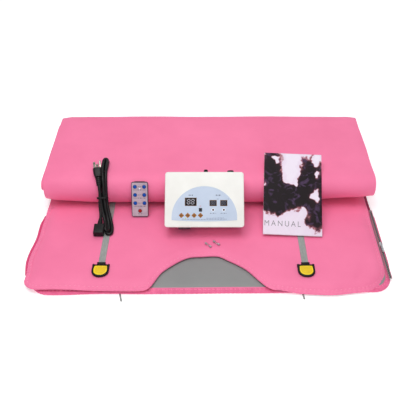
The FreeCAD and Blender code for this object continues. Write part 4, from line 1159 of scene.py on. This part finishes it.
def makeSideFold():
    low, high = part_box("side_fold")
    bm = bmesh.new()
    section = ((-2.5, 0.2), (-3.6, 1.6), (-3.2, 3.8), (-1.0, 4.8), (1.6, 4.2), (3.2, 2.6), (3.4, 0.4))
    rows = evenly(low.y, high.y, 6 * mm)
    bmesh.ops.create_grid(bm, x_segments=len(section) - 1, y_segments=len(rows) - 1, size=1.0)
    order = sorted(bm.verts, key=lambda v: (round(v.co.y, 5), round(v.co.x, 5)))
    for k, vert in enumerate(order):
        row, column = divmod(k, len(section))
        y = rows[row]
        part = row / (len(rows) - 1)
        full = min(1.0, 6 * part, 6 * (1 - part)) * (0.85 + 0.3 * wave(y * 20, 0.5))
        side, up = section[column]
        x = (low.x + high.x) / 2 + leftBulge(y) * mm + side * mm * (0.5 + 0.5 * full)
        vert.co = (x - 3.4 * mm, y, low.z - 3.0 * mm + up * mm * full * 1.25)
    # the gusset's deeper pink is painted shade
    piece = makePiece("SideFold", bm, [pinkShaded], "blanket", stands=["side_fold"], sharp=0)
    if sum(p.normal.z for p in piece.data.polygons) < 0:
        piece.data.flip_normals()
    withModifier(piece, "SOLIDIFY", thickness=0.8 * mm, offset=-1.0)
    withModifier(piece, "SUBSURF", levels=1, render_levels=1)


def makeZip():
    zipper = dict(pitch=3.0, tooth=(4.2, 1.7, 1.5), tape=(8, 0.8), out=5.5)
    low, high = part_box("zip_tape")
    middle = (low.x + high.x) / 2 / mm + zipper["out"]
    near, far = low.y / mm, high.y / mm
    level = high.z / mm
    tape = bmesh.new()
    strip = block((zipper["tape"][0], far - near, zipper["tape"][1]), (middle, (near + far) / 2,
                                                                       level - 0.4), soft=0.25)
    add(tape, strip, 0)
    for side in (-1, 1):
        add(tape, block((0.9, far - near, 0.7), (middle + side * 3.3, (near + far) / 2, level + 0.1),
                        soft=0.25), 1)
    # the tape's edge strips take the deeper pink, painted shade
    makePiece("ZipTape", tape, [greyLining, pinkShaded], "blanket", Matrix.Scale(mm, 4),
              ["zip_tape"])
    teeth = bmesh.new()
    for k in range(int((far - near - 4) / zipper["pitch"])):
        side = 1 if k % 2 else -1
        add(teeth, block((zipper["tooth"][0] * 0.62, zipper["tooth"][1], zipper["tooth"][2]),
                         (middle + side * 0.75, near + 2.5 + k * zipper["pitch"], level + 0.75),
                         soft=0.3, segments=1), 0)
    makePiece("ZipTeeth", teeth, [zipDark], "blanket", Matrix.Scale(mm, 4),
              ["zip_teeth"])
    low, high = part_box("zip_slider")
    centre = (low + high) / 2 / mm + Vector((zipper["out"], 0, 0))
    size = (high - low) / mm
    slider = bmesh.new()
    wedge = block((size.x, size.y, 1.2), (centre.x, centre.y, high.z / mm - 0.6), soft=0.4,
                  upright=2.4)
    for vert in wedge.verts:
        vert.co.x = centre.x + (vert.co.x - centre.x) * mix(1.0, 0.72, ease(low.y / mm, high.y / mm,
                                                                            vert.co.y))
    add(slider, wedge)
    for side in (-1, 1):
        add(slider, block((1.1, size.y - 2, size.z - 0.6), (centre.x + side * 3.1, centre.y,
                                                            centre.z - 0.3), soft=0.35))
    add(slider, block((2.4, 5.5, 1.6), (centre.x, joints["zip_tab_flip"]["pos_m"][1] / mm,
                                        high.z / mm + 0.4), soft=0.6))
    makePiece("ZipSlider", slider, [zipMetal], "slider", Matrix.Scale(mm, 4),
              ["zip_slider"])
    low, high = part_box("zip_pull")
    centre = (low + high) / 2 / mm + Vector((zipper["out"], 0, 0))
    size = (high - low) / mm
    tab = block((size.x, size.y, size.z), centre, upright=2.2)
    caps = [f for f in tab.faces if abs(f.normal.z) > 0.9]
    bmesh.ops.inset_region(tab, faces=caps, thickness=1.1, use_even_offset=True, depth=-0.25)
    makePiece("ZipPull", tab, [zipMetal], "slider_tab", Matrix.Scale(mm, 4),
              ["zip_pull"])


makeSideFold()
makeZip()
print("gusset and zip made")


# the controller, in its own millimetres: X across, Y up its face, Z out of its face

keyAxis = Vector(joints["power_key_press"]["axis"])
controller = dict(foot=(-8.3, -110, 20.3), lean=math.atan2(abs(keyAxis.y), abs(keyAxis.z)),
                  size=(184, 132, 44), seam=26, corner=7, edge=2.6, wall=2.5, port=16,
                  drawIn=10.5, sideIn=3.0)
display = dict(time=(-31.6, 60, 25.8, 18), heat=((20.1, 57, 15, 12.6), (44.7, 57, 15, 12.6)),
               lamps=(20.1, 44.7), lampY=41, eye=(-9, 41, 7.6, 8.5), face=44.8)
keys = dict(first=-53.05, step=14.7, y=28, side=7.9, proud=0.7)
controlPlace = leaningFrame(controller["foot"], controller["lean"])


def drawnIn(part):
    # the front wall and the sides slope inwards from the face to the underside
    wide, long, deep = controller["size"]
    for vert in part.verts:
        down = 1 - vert.co.z / deep
        vert.co.y += controller["drawIn"] * down * max(1 - vert.co.y / long, 0)
        vert.co.x *= 1 - 2 * controller["sideIn"] / wide * down
    return part


def caseHalf(low, high, openTop, edge):
    # half of the case as an open skin; Solidify gives it its wall
    wide, long, deep = controller["size"]
    part = block((wide, long, high - low), (0, long / 2, (low + high) / 2),
                 upright=controller["corner"])
    openZ = high if openTop else low
    bmesh.ops.delete(part, geom=[f for f in part.faces if abs(f.normal.z) > 0.9
                                 and abs(f.calc_center_median().z - openZ) < 0.1], context="FACES")
    closedZ = low if openTop else high
    rim = [e for e in part.edges if not e.is_boundary and e.calc_face_angle(0) > 1.0
           and all(abs(v.co.z - closedZ) < 0.1 for v in e.verts)]
    bmesh.ops.bevel(part, geom=rim, offset=edge, segments=5, profile=0.5, affect="EDGES",
                    material=-1)
    return drawnIn(part)


def makeCase():
    wide, long, deep = controller["size"]
    seam = controller["seam"]
    lid = caseHalf(seam + 0.25, deep, False, controller["edge"])
    piece = makePiece("ControllerLid", lid, [caseWhite], "controller", controlPlace,
                      ["controller_lid"])
    withModifier(piece, "SOLIDIFY", thickness=controller["wall"] * mm, offset=-1.0)
    base = caseHalf(0, seam - 0.25, True, 1.6)
    low, high = (-63.7, -36.3), (5.0, 25.0)
    for point, normal in (((low[0], 0, 0), (1, 0, 0)), ((low[1], 0, 0), (1, 0, 0)),
                          ((0, 0, high[0]), (0, 0, 1)), ((0, 0, high[1]), (0, 0, 1))):
        bmesh.ops.bisect_plane(base, geom=base.verts[:] + base.edges[:] + base.faces[:],
                               plane_co=point, plane_no=normal)
    mouth = [f for f in base.faces if f.calc_center_median().y > long - 0.1
             and low[0] < f.calc_center_median().x < low[1]
             and high[0] < f.calc_center_median().z < high[1]]
    bmesh.ops.delete(base, geom=mouth, context="FACES")
    piece = makePiece("ControllerBase", base, [caseWhite], "controller",
                      controlPlace, ["controller_base"])
    withModifier(piece, "SOLIDIFY", thickness=controller["wall"] * mm, offset=-1.0)
    tongue = drawnIn(block((wide - 3.2, long - 3.2, 3.4), (0, long / 2, seam), upright=5.4))
    bmesh.ops.delete(tongue, geom=[f for f in tongue.faces if abs(f.normal.z) > 0.9],
                     context="FACES")
    piece = makePiece("CaseSeamLip", tongue, [printGrey], "controller", controlPlace)
    withModifier(piece, "SOLIDIFY", thickness=0.9 * mm, offset=-1.0)


def makeOverlay():
    # half-round printed sheet with a slightly bowed lower edge, inside a thin pale border
    sheetOf = dict(half=75.5, high=74, shoulder=23, foot=17, bow=3, thick=0.8)

    def halfRound(grow, thick, low):
        part = bmesh.new()
        bmesh.ops.create_circle(part, cap_ends=True, segments=128, radius=1.0)
        for vert in part.verts:
            x, y = vert.co.x, vert.co.y
            if y >= -1e-6:
                vert.co.y = sheetOf["shoulder"] + y * (sheetOf["high"] + grow)
            else:
                vert.co.y = sheetOf["foot"] - grow - sheetOf["bow"] * (1 - x * x)
            vert.co.x = x * (sheetOf["half"] + grow)
        made = bmesh.ops.extrude_face_region(part, geom=part.faces[:])
        bmesh.ops.translate(part, vec=(0, 0, thick),
                            verts=[v for v in made["geom"] if isinstance(v, bmesh.types.BMVert)])
        bmesh.ops.recalc_face_normals(part, faces=part.faces)
        bmesh.ops.translate(part, vec=(0, 0, low), verts=part.verts)
        return part

    deep = controller["size"][2]
    whole = bmesh.new()
    add(whole, halfRound(0.0, sheetOf["thick"], deep), 0)
    add(whole, halfRound(2.6, 0.35, deep - 0.05), 1)
    makePiece("PanelOverlay", whole, [overlayBlue, caseWhite], "controller",
              controlPlace, ["panel_overlay"])


def dash(whole, x, y, wide, high, finish, face=display["face"]):
    add(whole, block((wide, high, 0.12), (x, y, face + 0.05)), finish)


def wordMark(whole, x, y, wide, high, finish, parts, face=display["face"]):
    # a generic printed mark: a row of short upright ticks and bars of unequal width
    step = wide / parts
    for k in range(parts):
        long = step * (0.55 + 0.25 * math.sin(k * 2.4 + x))
        dash(whole, x - wide / 2 + (k + 0.5) * step, y, long, high * (0.7 + 0.3 * math.cos(k * 1.9)),
             finish, face)


def makePanelPrint():
    whole = bmesh.new()
    wordMark(whole, -31.7, 75.6, 10, 2.9, 4, 4)
    wordMark(whole, 32.2, 75.6, 12, 2.9, 4, 5)
    for x in (31.0, 55.2):
        wordMark(whole, x, 66.4, 3.8, 2.2, 0, 2)
    for x in display["lamps"]:
        wordMark(whole, x, 32.8, 15, 2.3, 0, 6)
        ring = turned(((2.5, 0), (3.9, 0), (3.9, 0.14), (2.5, 0.14), (2.5, 0)), around=32,
                      place=Matrix.Translation((x, display["lampY"], display["face"])))
        add(whole, ring, 1)
    wordMark(whole, -9.3, 49.6, 2.6, 3.6, 2, 2)
    add(whole, rod(1.3, 0, 0.14, place=Matrix.Translation((-43.5, 20.6, display["face"]))), 3)
    for k in range(30):
        x = -50 + k * 3.45
        bow = 1.9 * (x / 75.5) ** 2
        wordMark(whole, x, 18.4 + bow, 3.3, 1.8, 0, 2)
        if x > 2 and x < 46:
            wordMark(whole, x, 21.4 + bow, 3.3, 1.8, 0, 2)
    makePiece("PanelPrint", whole, [printGrey, printWhite, printRed, printLime, printDark], "controller",
              controlPlace)


def digitEight(whole, x, y, wide, high, bar, finish, face):
    # a seven-bar figure with every bar showing, leaning slightly
    slant = 0.10
    for row in (-1, 0, 1):
        dy = row * (high / 2 - bar / 2)
        add(whole, block((wide - 2.2 * bar, bar, 0.12), (x + slant * dy, y + dy, face), soft=0.04,
                         segments=1), finish)
    for side in (-1, 1):
        for half in (-1, 1):
            dy = half * high / 4
            add(whole, block((bar, high / 2 - 1.6 * bar, 0.12),
                             (x + side * (wide / 2 - bar / 2) + slant * dy, y + dy, face),
                             soft=0.04, segments=1), finish)


def makeDisplays():
    whole = bmesh.new()
    face = display["face"]
    windows = [(display["time"], 7.6, 12.4, 1.5, 2)] + [(w, 4.8, 8.2, 0.9, 3) for w in display["heat"]]
    for (x, y, wide, high), digitWide, digitHigh, bar, finish in windows:
        add(whole, block((wide + 1.6, high + 1.6, 1.0), (x, y, face - 0.15), soft=0.3), 1)
        add(whole, block((wide, high, 1.0), (x, y, face), soft=0.25), 0)
        for side in (-1, 1):
            digitEight(whole, x + side * (digitWide * 0.62), y, digitWide, digitHigh, bar, finish,
                       face + 0.52)
    makePiece("NumberDisplays", whole, [glassBlack, bezelBrown, segmentGrey, segmentDim],
              "controller", controlPlace, ["number_displays"])
    lamps = bmesh.new()
    for x in display["lamps"]:
        add(lamps, turned(((0, -1.2), (2.3, -1.2), (2.3, 0.2), (2.0, 0.75), (1.2, 1.15), (0, 1.3)),
                          around=28, place=Matrix.Translation((x, display["lampY"], face))), 0)
    makePiece("IndicatorLamps", lamps, [lampRed], "controller", controlPlace,
              ["indicator_lamps"])
    eye = bmesh.new()
    x, y, wide, high = display["eye"]
    add(eye, block((wide, high, 1.6), (x, y, face - 0.5), soft=0.35), 0)
    for side in (-1, 1):
        add(eye, block((wide * 0.40, high * 0.84, 0.25), (x + side * wide * 0.23, y, face + 0.34),
                       soft=0.1, segments=1), 0)
    makePiece("RemoteSensorEye", eye, [glassBlack], "controller", controlPlace,
              ["remote_sensor_eye"])


def makeKeys():
    # four diamond keys, each with a raised darker figure
    for k, name in enumerate(("power", "time", "heat", "mode")):
        whole = bmesh.new()
        deep = controller["size"][2]
        top = display["face"] + keys["proud"]
        body = block((keys["side"], keys["side"], top - deep + 2.5), (0, 0, (top + deep - 2.5) / 2),
                     soft=0.45, upright=0.8, turns=4)
        add(whole, body, 0)
        mark = block((4.2, 4.2, 0.5), (0, 0, top), soft=0.2, upright=0.5, turns=3)
        add(whole, mark, 1)
        add(whole, block((1.5, 1.5, 0.4), (0, 0, top + 0.2), soft=0.1, segments=1), 0)
        collar = block((keys["side"] + 0.9, keys["side"] + 0.9, 0.5), (0, 0, display["face"]),
                       upright=1.0, turns=4)
        add(whole, collar, 1)
        place = (controlPlace @ Matrix.Translation((keys["first"] + k * keys["step"], keys["y"], 0))
                 @ Matrix.Rotation(math.pi / 4, 4, "Z"))
        makePiece(f"{name.title()}Key", whole, [keyAmber, keyAmberDark], f"key_{name}",
                  place, [f"{name}_key"])


def makePorts():
    # on the top wall: the bayonet fuse cap and the round output socket
    long = controller["size"][1]

    def onWall(x):
        return (controlPlace @ Matrix.Translation((x, long, controller["port"]))
                @ Matrix.Rotation(-math.pi / 2, 4, "X"))

    cap = bmesh.new()
    add(cap, turned(((0, -12), (3.7, -12), (3.7, 0.2), (5.2, 0.3), (5.2, 3.4), (4.7, 3.7), (4.6, 10.4),
                     (4.1, 11.6), (3.0, 12.2), (0, 12.3))), 0)
    for k in range(20):
        turn = Matrix.Rotation(2 * math.pi * k / 20, 4, "Z")
        ridge = block((0.7, 0.6, 6.4), (4.65, 0, 7.2), soft=0.18, segments=1)
        bmesh.ops.transform(ridge, matrix=turn, verts=ridge.verts)
        add(cap, ridge, 0)
    add(cap, block((6.0, 1.0, 0.3), (0, 0, 12.2), soft=0.08, segments=1), 1)
    makePiece("FuseCap", cap, [blackMoulding, glassBlack], "cap", onWall(3.2),
              ["fuse_cap"])
    socket = bmesh.new()
    add(socket, turned(((0, -12), (7.0, -12), (7.0, 0), (8.3, 0.05), (8.3, 2.2), (7.7, 2.6),
                        (7.7, 8.7), (7.2, 9.2), (6.2, 9.2), (5.9, 8.7), (5.8, 4.5), (0, 4.5))), 0)
    add(socket, rod(4.9, 4.4, 8.2, soft=0.4), 0)
    for k in range(4):
        turn = Matrix.Rotation(2 * math.pi * k / 4 + 0.4, 4, "Z") @ Matrix.Translation((2.7, 0, 0))
        add(socket, rod(0.55, 8.0, 8.7, place=turn, around=16, soft=0.15), 1)
    add(socket, block((1.6, 1.8, 4.0), (0, 5.6, 6.4), soft=0.3), 0)
    makePiece("OutputSocket", socket, [blackMoulding, brass], "controller",
              onWall(61.7), ["output_socket"])
    surround = bmesh.new()
    flange = block((31.4, 23.6, 1.4), (0, 0, 0.5), soft=0.5, upright=3.0)
    openedUp(flange, 3.9)
    add(surround, flange, 0)
    makePiece("InletSurround", surround, [blackMoulding], "controller",
              onWall(-50) @ Matrix.Translation((0, 0.8, 0)))


makeCase()
makeOverlay()
makePanelPrint()
makeDisplays()
makeKeys()
makePorts()
print("controller made")


# the mini remote, leaning more steeply on the nose

slideAxis = Vector(joints["battery_tray_slide"]["axis"])
remote = dict(foot=(-163.7, -58, 20.3), lean=math.atan2(slideAxis.z, slideAxis.y),
              size=(40, 85, 6.5), back=4.5, corner=4, radius=4.0, proud=0.8, x=11, low=33.5,
              step=20, stopY=14.5)
remotePlace = leaningFrame(remote["foot"], remote["lean"])


def makeRemote():
    wide, long, thick = remote["size"]
    back = block((wide, long, remote["back"] - 0.15), (0, long / 2, remote["back"] / 2 - 0.07),
                 soft=1.0, upright=remote["corner"])
    makePiece("RemoteBack", back, [remoteDark], "remote", remotePlace,
              ["remote_back"])
    front = block((wide, long, thick - remote["back"]), (0, long / 2, (thick + remote["back"]) / 2),
                  upright=remote["corner"])
    rim = [e for e in front.edges if e.calc_face_angle(0) > 1.0
           and all(v.co.z > thick - 0.1 for v in e.verts)]
    bmesh.ops.bevel(front, geom=rim, offset=0.7, segments=4, profile=0.5, affect="EDGES",
                    material=-1)
    for face in front.faces:
        face.material_index = 1
    top = [f for f in front.faces if f.normal.z > 0.99 and f.calc_area() > 1000]
    bmesh.ops.inset_region(front, faces=top, thickness=0.9, use_even_offset=True, depth=-0.12)
    for face in top:
        face.material_index = 0
    whole = bmesh.new()
    add(whole, front)
    spots = {f"{row}_{side}": (x * remote["x"], remote["low"] + k * remote["step"])
             for k, row in enumerate(("heat", "time", "on")) for side, x in (("left", -1), ("right", 1))}
    spots["stop"] = (0.0, remote["stopY"])
    for x, y in spots.values():
        add(whole, turned(((4.05, 0), (5.0, 0), (4.8, 0.22), (4.3, 0.26), (4.05, 0)), around=32,
                          place=Matrix.Translation((x, y, thick - 0.12))), 1)
    for k in range(3):
        y = remote["low"] + k * remote["step"]
        wordMark(whole, 0, y + 0.3, 8.0, 2.0, 2, 4, thick - 0.12)
        wordMark(whole, -8.3, y - 7.6, 14.5, 2.2, 2, 5, thick - 0.12)
        wordMark(whole, 8.3, y - 7.6, 14.5, 2.2, 2, 5, thick - 0.12)
    wordMark(whole, 0, 7.0, 10, 2.0, 2, 4, thick - 0.12)
    add(whole, rod(1.5, 0, 0.12, place=Matrix.Translation((0, 69.2, thick - 0.12)), around=24), 3)
    makePiece("RemoteFront", whole, [remoteSilver, remoteDark, remoteDark, printWhite], "remote",
              remotePlace, ["remote_front"])
    low = remote["back"]
    for name, (x, y) in spots.items():
        top = thick + remote["proud"]
        button = turned(((0, low + 0.1), (4.0, low + 0.1), (4.0, top - 0.45), (3.7, top - 0.12),
                         (3.0, top + 0.10), (1.6, top + 0.02), (0, top - 0.05)),
                        place=Matrix.Translation((x, y, 0)))
        makePiece("".join(w.title() for w in name.split("_")) + "Button", button,
                  [buttonRed if name == "stop" else buttonBlue], f"button_{name}",
                  remotePlace,
                  [f"{name}_button"])


makeRemote()
print("remote made")


# the booklet: leaves, printed front with a cloud of ink, title

book = dict(wide=138, high=205, leaf=0.4, pages=2.6, cell=1.5, letter=14.0, titleX=-67.0,
            titleY=20.8)
openHinge = joints["booklet_open"]


def bookPlace():
    # own millimetres: X across, Y up the page, Z out of it; the hinge is the lower left corner
    up = Vector(openHinge["axis"]).normalized()
    up = up if up.y > 0 else -up
    across = up.cross(Vector((0, -up.z, up.y))).normalized()
    out = across.cross(up)
    corner = Vector((-book["wide"] / 2, 0, book["leaf"] + book["pages"]))
    turn = Matrix((across, up, out)).transposed().to_4x4()
    return (Matrix.Translation(Vector(openHinge["pos_m"])) @ turn @ Matrix.Scale(mm, 4)
            @ Matrix.Translation(-corner))


def inkAmount(u, v):
    # 0 where the paper shows, 1 deep in the cloud; u across and v up, 0 to 1
    wobble = 0.075 * wave(u * 5.0, v * 7.0, 1.0), 0.075 * wave(u * 5.0, v * 7.0, 6.0)
    fine = 0.022 * wave(u * 17, v * 24, 2.0), 0.022 * wave(u * 17, v * 24, 9.0)
    u, v = u + wobble[0] + fine[0], v + wobble[1] + fine[1]

    def blob(x, y, wide, high, lean=0.0):
        dx, dy = u - x, v - y
        dx, dy = dx * math.cos(lean) + dy * math.sin(lean), dy * math.cos(lean) - dx * math.sin(lean)
        return math.exp(-(dx / wide) ** 2 - (dy / high) ** 2)

    dark = (1.1 * blob(0.13, 0.70, 0.26, 0.34) + 1.0 * blob(0.32, 0.47, 0.42, 0.15)
            + 1.1 * blob(0.80, 0.72, 0.24, 0.26) + 0.9 * blob(0.64, 0.43, 0.26, 0.10, -0.3)
            + 1.1 * blob(0.90, 0.20, 0.15, 0.11, 0.5) + 0.6 * blob(1.0, 0.38, 0.07, 0.22)
            + 0.8 * blob(0.24, 0.34, 0.15, 0.08) + 0.4 * blob(0.02, 0.44, 0.06, 0.10))
    light = (1.5 * blob(0.46, 0.86, 0.075, 0.19, -0.12) + 0.9 * blob(0.22, 0.90, 0.05, 0.035)
             + 0.9 * blob(0.60, 0.92, 0.05, 0.05) + 1.1 * blob(0.90, 0.93, 0.04, 0.06)
             + 1.2 * blob(0.87, 0.47, 0.09, 0.08, 0.5) + 0.8 * blob(0.95, 0.74, 0.03, 0.06)
             + 0.9 * blob(0.58, 0.66, 0.06, 0.05, 0.7) + 0.8 * blob(0.01, 0.60, 0.03, 0.06))
    swirl = 0.30 * wave(u * 9 + 3 * wave(u * 4, v * 4, 3.0), v * 11, 4.0)
    return min(max(0.5 + 0.9 * (dark - light - 0.42) + swirl * 0.5, 0.0), 1.0)


def makeInkPrint():
    # the print reads the amount of ink from the cover's own attribute
    material, tree, shader = newFinish("InkPrint", Specular_IOR_Level=0.12)
    ink = node(tree, "ShaderNodeAttribute", attribute_name="ink").outputs["Fac"]
    spot = node(tree, "ShaderNodeTexCoord").outputs["Object"]
    fine = node(tree, "ShaderNodeTexNoise", [("Vector", spot)], Scale=130.0, Detail=6.0,
                Roughness=0.6, Distortion=0.8)
    edge = node(tree, "ShaderNodeMath", [(0, fine.outputs["Fac"])], operation="MULTIPLY_ADD")
    edge.inputs[1].default_value = 0.34
    edge.inputs[2].default_value = -0.17
    total = node(tree, "ShaderNodeMath", [(0, ink), (1, edge.outputs["Value"])], operation="ADD")
    colour = ramp(tree, total.outputs["Value"],
                  [(0.0, tint(236, 226, 240)), (0.43, tint(230, 214, 232)),
                   (0.49, tint(176, 112, 122)), (0.55, tint(86, 48, 58)), (0.66, tint(38, 22, 30)),
                   (1.0, tint(26, 17, 22))])
    cloud = node(tree, "ShaderNodeTexNoise", [("Vector", spot)], Scale=34.0, Detail=5.0,
                 Distortion=2.2)
    purple = ramp(tree, cloud.outputs["Fac"], [(0.52, (0, 0, 0)), (0.72, tint(84, 62, 98))])
    veil = node(tree, "ShaderNodeMix", data_type="RGBA", blend_type="SCREEN")
    veil.inputs["Factor"].default_value = 0.8
    tree.links.new(colour, veil.inputs[6])
    tree.links.new(purple, veil.inputs[7])
    tree.links.new(veil.outputs[2], shader.inputs["Base Color"])
    tree.links.new(spread(tree, cloud.outputs["Fac"], 0.36, 0.5), shader.inputs["Roughness"])
    return material


def makeBooklet():
    place = bookPlace()
    wide, high, leaf = book["wide"], book["high"], book["leaf"]
    middleY = high / 2
    thick = leaf + book["pages"]
    pages = bmesh.new()
    add(pages, block((wide, high, leaf), (0, middleY, leaf / 2), soft=0.1, upright=0.8), 1)
    sheets = 9
    for k in range(sheets):
        each = (thick - leaf) / sheets
        inset = 0.25 + 0.35 * (0.5 + 0.5 * math.sin(k * 2.3))
        add(pages, block((wide - inset, high - inset, each * 0.86),
                         (-inset / 2, middleY, leaf + (k + 0.5) * each), soft=0.06, segments=1,
                         upright=0.6, turns=3), 0)
    makePiece("BookletPages", pages, [paper, paper], "booklet", place, ["booklet_pages"])
    cover = bmesh.new()
    columns, rows = round(wide / book["cell"]), round(high / book["cell"])
    bmesh.ops.create_grid(cover, x_segments=columns, y_segments=rows, size=1.0)
    amounts = {}
    for vert in cover.verts:
        u, v = (vert.co.x + 1) / 2, (vert.co.y + 1) / 2
        curl = 0.5 * ease(0.75, 1.0, u) * ease(0.6, 1.0, 1 - v)
        vert.co = ((u - 0.5) * wide, v * high, thick + 0.15 + leaf + curl * 0.6)
        amounts[vert.index] = inkAmount(u, v)
    values = [amounts[k] for k in range(len(cover.verts))]
    piece = makePiece("BookletCover", cover, [makeInkPrint()], "booklet_leaf",
                      place, ["booklet_cover"], sharp=0)
    attribute = piece.data.attributes.new("ink", "FLOAT", "POINT")
    attribute.data.foreach_set("value", values)
    if sum(p.normal.z for p in piece.data.polygons) < 0:
        piece.data.flip_normals()
    withModifier(piece, "SOLIDIFY", thickness=leaf * mm, offset=-1.0)
    text = bpy.data.curves.new("BookletTitle", "FONT")
    text.body = "MANUAL"
    text.size = book["letter"] / 0.72
    text.space_character = 1.42
    text.offset = -0.16
    text.extrude = 0.05
    words = bpy.data.objects.new("BookletTitle", text)
    bpy.context.scene.collection.objects.link(words)
    mesh = bpy.data.meshes.new_from_object(words)
    bpy.data.objects.remove(words)
    bm = bmesh.new()
    bm.from_mesh(mesh)
    bpy.data.meshes.remove(mesh)
    bmesh.ops.scale(bm, vec=(0.86, 1, 1), verts=bm.verts)
    bmesh.ops.translate(bm, vec=(book["titleX"], book["titleY"], thick + leaf + 0.22), verts=bm.verts)
    makePiece("BookletTitle", bm, [titleGrey], "booklet_leaf", place)
    staples = bmesh.new()
    for part in (0.28, 0.72):
        y = high * part
        add(staples, block((0.7, 11, 0.7), (-wide / 2 - 0.05, y, thick / 2 + 0.3), soft=0.25))
    makePiece("BookletStaples", staples, [zipMetal], "booklet", place)


makeBooklet()
print("booklet made")


# two spare glass fuses on the flap, clear tubes with metal caps and a wire

def makeGlass():
    material, tree, shader = newFinish("FuseGlass", Transmission_Weight=0.96, IOR=1.47,
                                       Specular_IOR_Level=0.5)
    spot = node(tree, "ShaderNodeTexCoord").outputs["Object"]
    haze = node(tree, "ShaderNodeTexNoise", [("Vector", spot)], Scale=400.0, Detail=2.0)
    tree.links.new(spread(tree, haze.outputs["Fac"], 0.02, 0.08), shader.inputs["Roughness"])
    tree.links.new(ramp(tree, haze.outputs["Fac"], [(0.3, tint(244, 250, 248)),
                                                    (0.7, tint(252, 255, 254))]),
                   shader.inputs["Base Color"])
    return material


def makeSpareFuses():
    fuse = dict(radius=2.6, long=20, cap=5.4, at=((0.5, -161, -45), (19.5, -154.5, -42)))
    low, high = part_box("spare_fuses")
    whole = bmesh.new()
    half = fuse["long"] / 2
    for x, y, angle in fuse["at"]:
        place = (Matrix.Translation((x, y, (low.z + high.z) / 2 / mm))
                 @ Matrix.Rotation(math.radians(angle), 4, "Z") @ Matrix.Rotation(math.pi / 2, 4, "Y"))
        add(whole, turned(((0, -half + 0.8), (2.25, -half + 0.8), (2.25, half - 0.8), (0, half - 0.8)),
                          place=place, around=32), 0)
        for side in (-1, 1):
            inner, outer = half - fuse["cap"], half
            cap = turned(((0, inner), (2.3, inner), (fuse["radius"], inner + 0.2),
                          (fuse["radius"], outer - 0.7), (2.1, outer - 0.15), (0, outer)),
                         place=place @ Matrix.Rotation(math.pi * (side < 0), 4, "X"), around=32)
            add(whole, cap, 1)
        add(whole, rod(0.14, -half + fuse["cap"], half - fuse["cap"], place=place, around=8), 1)
    makePiece("SpareFuses", whole, [makeGlass(), zipMetal], "fuses",
              Matrix.Scale(mm, 4), ["spare_fuses"])


makeSpareFuses()
print("spare fuses made")


# inner parts keep their shapes and get their finishes

def finishInnerParts():
    finishes = {"circuit_board": boardGreen, "transformer": ironGrey, "mains_inlet": blackMoulding,
                "case_screws": zipMetal, "battery_tray": remoteDark, "coin_cell": zipMetal}
    for name, finish in finishes.items():
        for slot in frame["nodes"][name].material_slots:
            slot.material = finish


finishInnerParts()


# floor and light

def makeStudio():
    bm = bmesh.new()
    bmesh.ops.create_grid(bm, x_segments=1, y_segments=1, size=8)
    bmesh.ops.translate(bm, vec=(0, 0, -0.4 * mm), verts=bm.verts)
    floorWhite = moulded("FloorWhite", tint(246, 246, 246), tint(250, 250, 250), scale=3,
                         rough=(0.6, 0.7), grain=60, depth=0.01 * mm, strength=0.05)
    glow = floorWhite.node_tree.nodes["Principled BSDF"]
    glow.inputs["Emission Color"].default_value = (1, 1, 1, 1)
    glow.inputs["Emission Strength"].default_value = studio["floorGlow"]
    makePiece("Floor", bm, [floorWhite], None, sharp=0)
    world = bpy.data.worlds.new("Studio")
    bpy.context.scene.world = world
    world.use_nodes = True
    world.node_tree.nodes["Background"].inputs["Color"].default_value = (1, 1, 1, 1)
    # the backdrop is seen white, and lights the object more gently
    seen = node(world.node_tree, "ShaderNodeLightPath").outputs["Is Camera Ray"]
    world.node_tree.links.new(spread(world.node_tree, seen, studio["ambient"], 1.0),
                              world.node_tree.nodes["Background"].inputs["Strength"])
    for name, spot, size, power in studio["lights"]:
        light = bpy.data.lights.new(name, "AREA")
        light.size = size
        light.energy = power
        lamp = bpy.data.objects.new(name, light)
        lamp.location = spot
        lamp.rotation_euler = (-Vector(spot)).to_track_quat("-Z", "Y").to_euler()
        bpy.context.scene.collection.objects.link(lamp)


studio = dict(ambient=0.38, floorGlow=0.35, lights=(("Top", (-0.25, -0.35, 2.3), 1.7, 32),
                                    ("Front", (0.3, -2.2, 1.5), 1.6, 10),
                                    ("Back", (0.2, 1.6, 1.8), 1.6, 7)))
makeStudio()
print("studio ready")
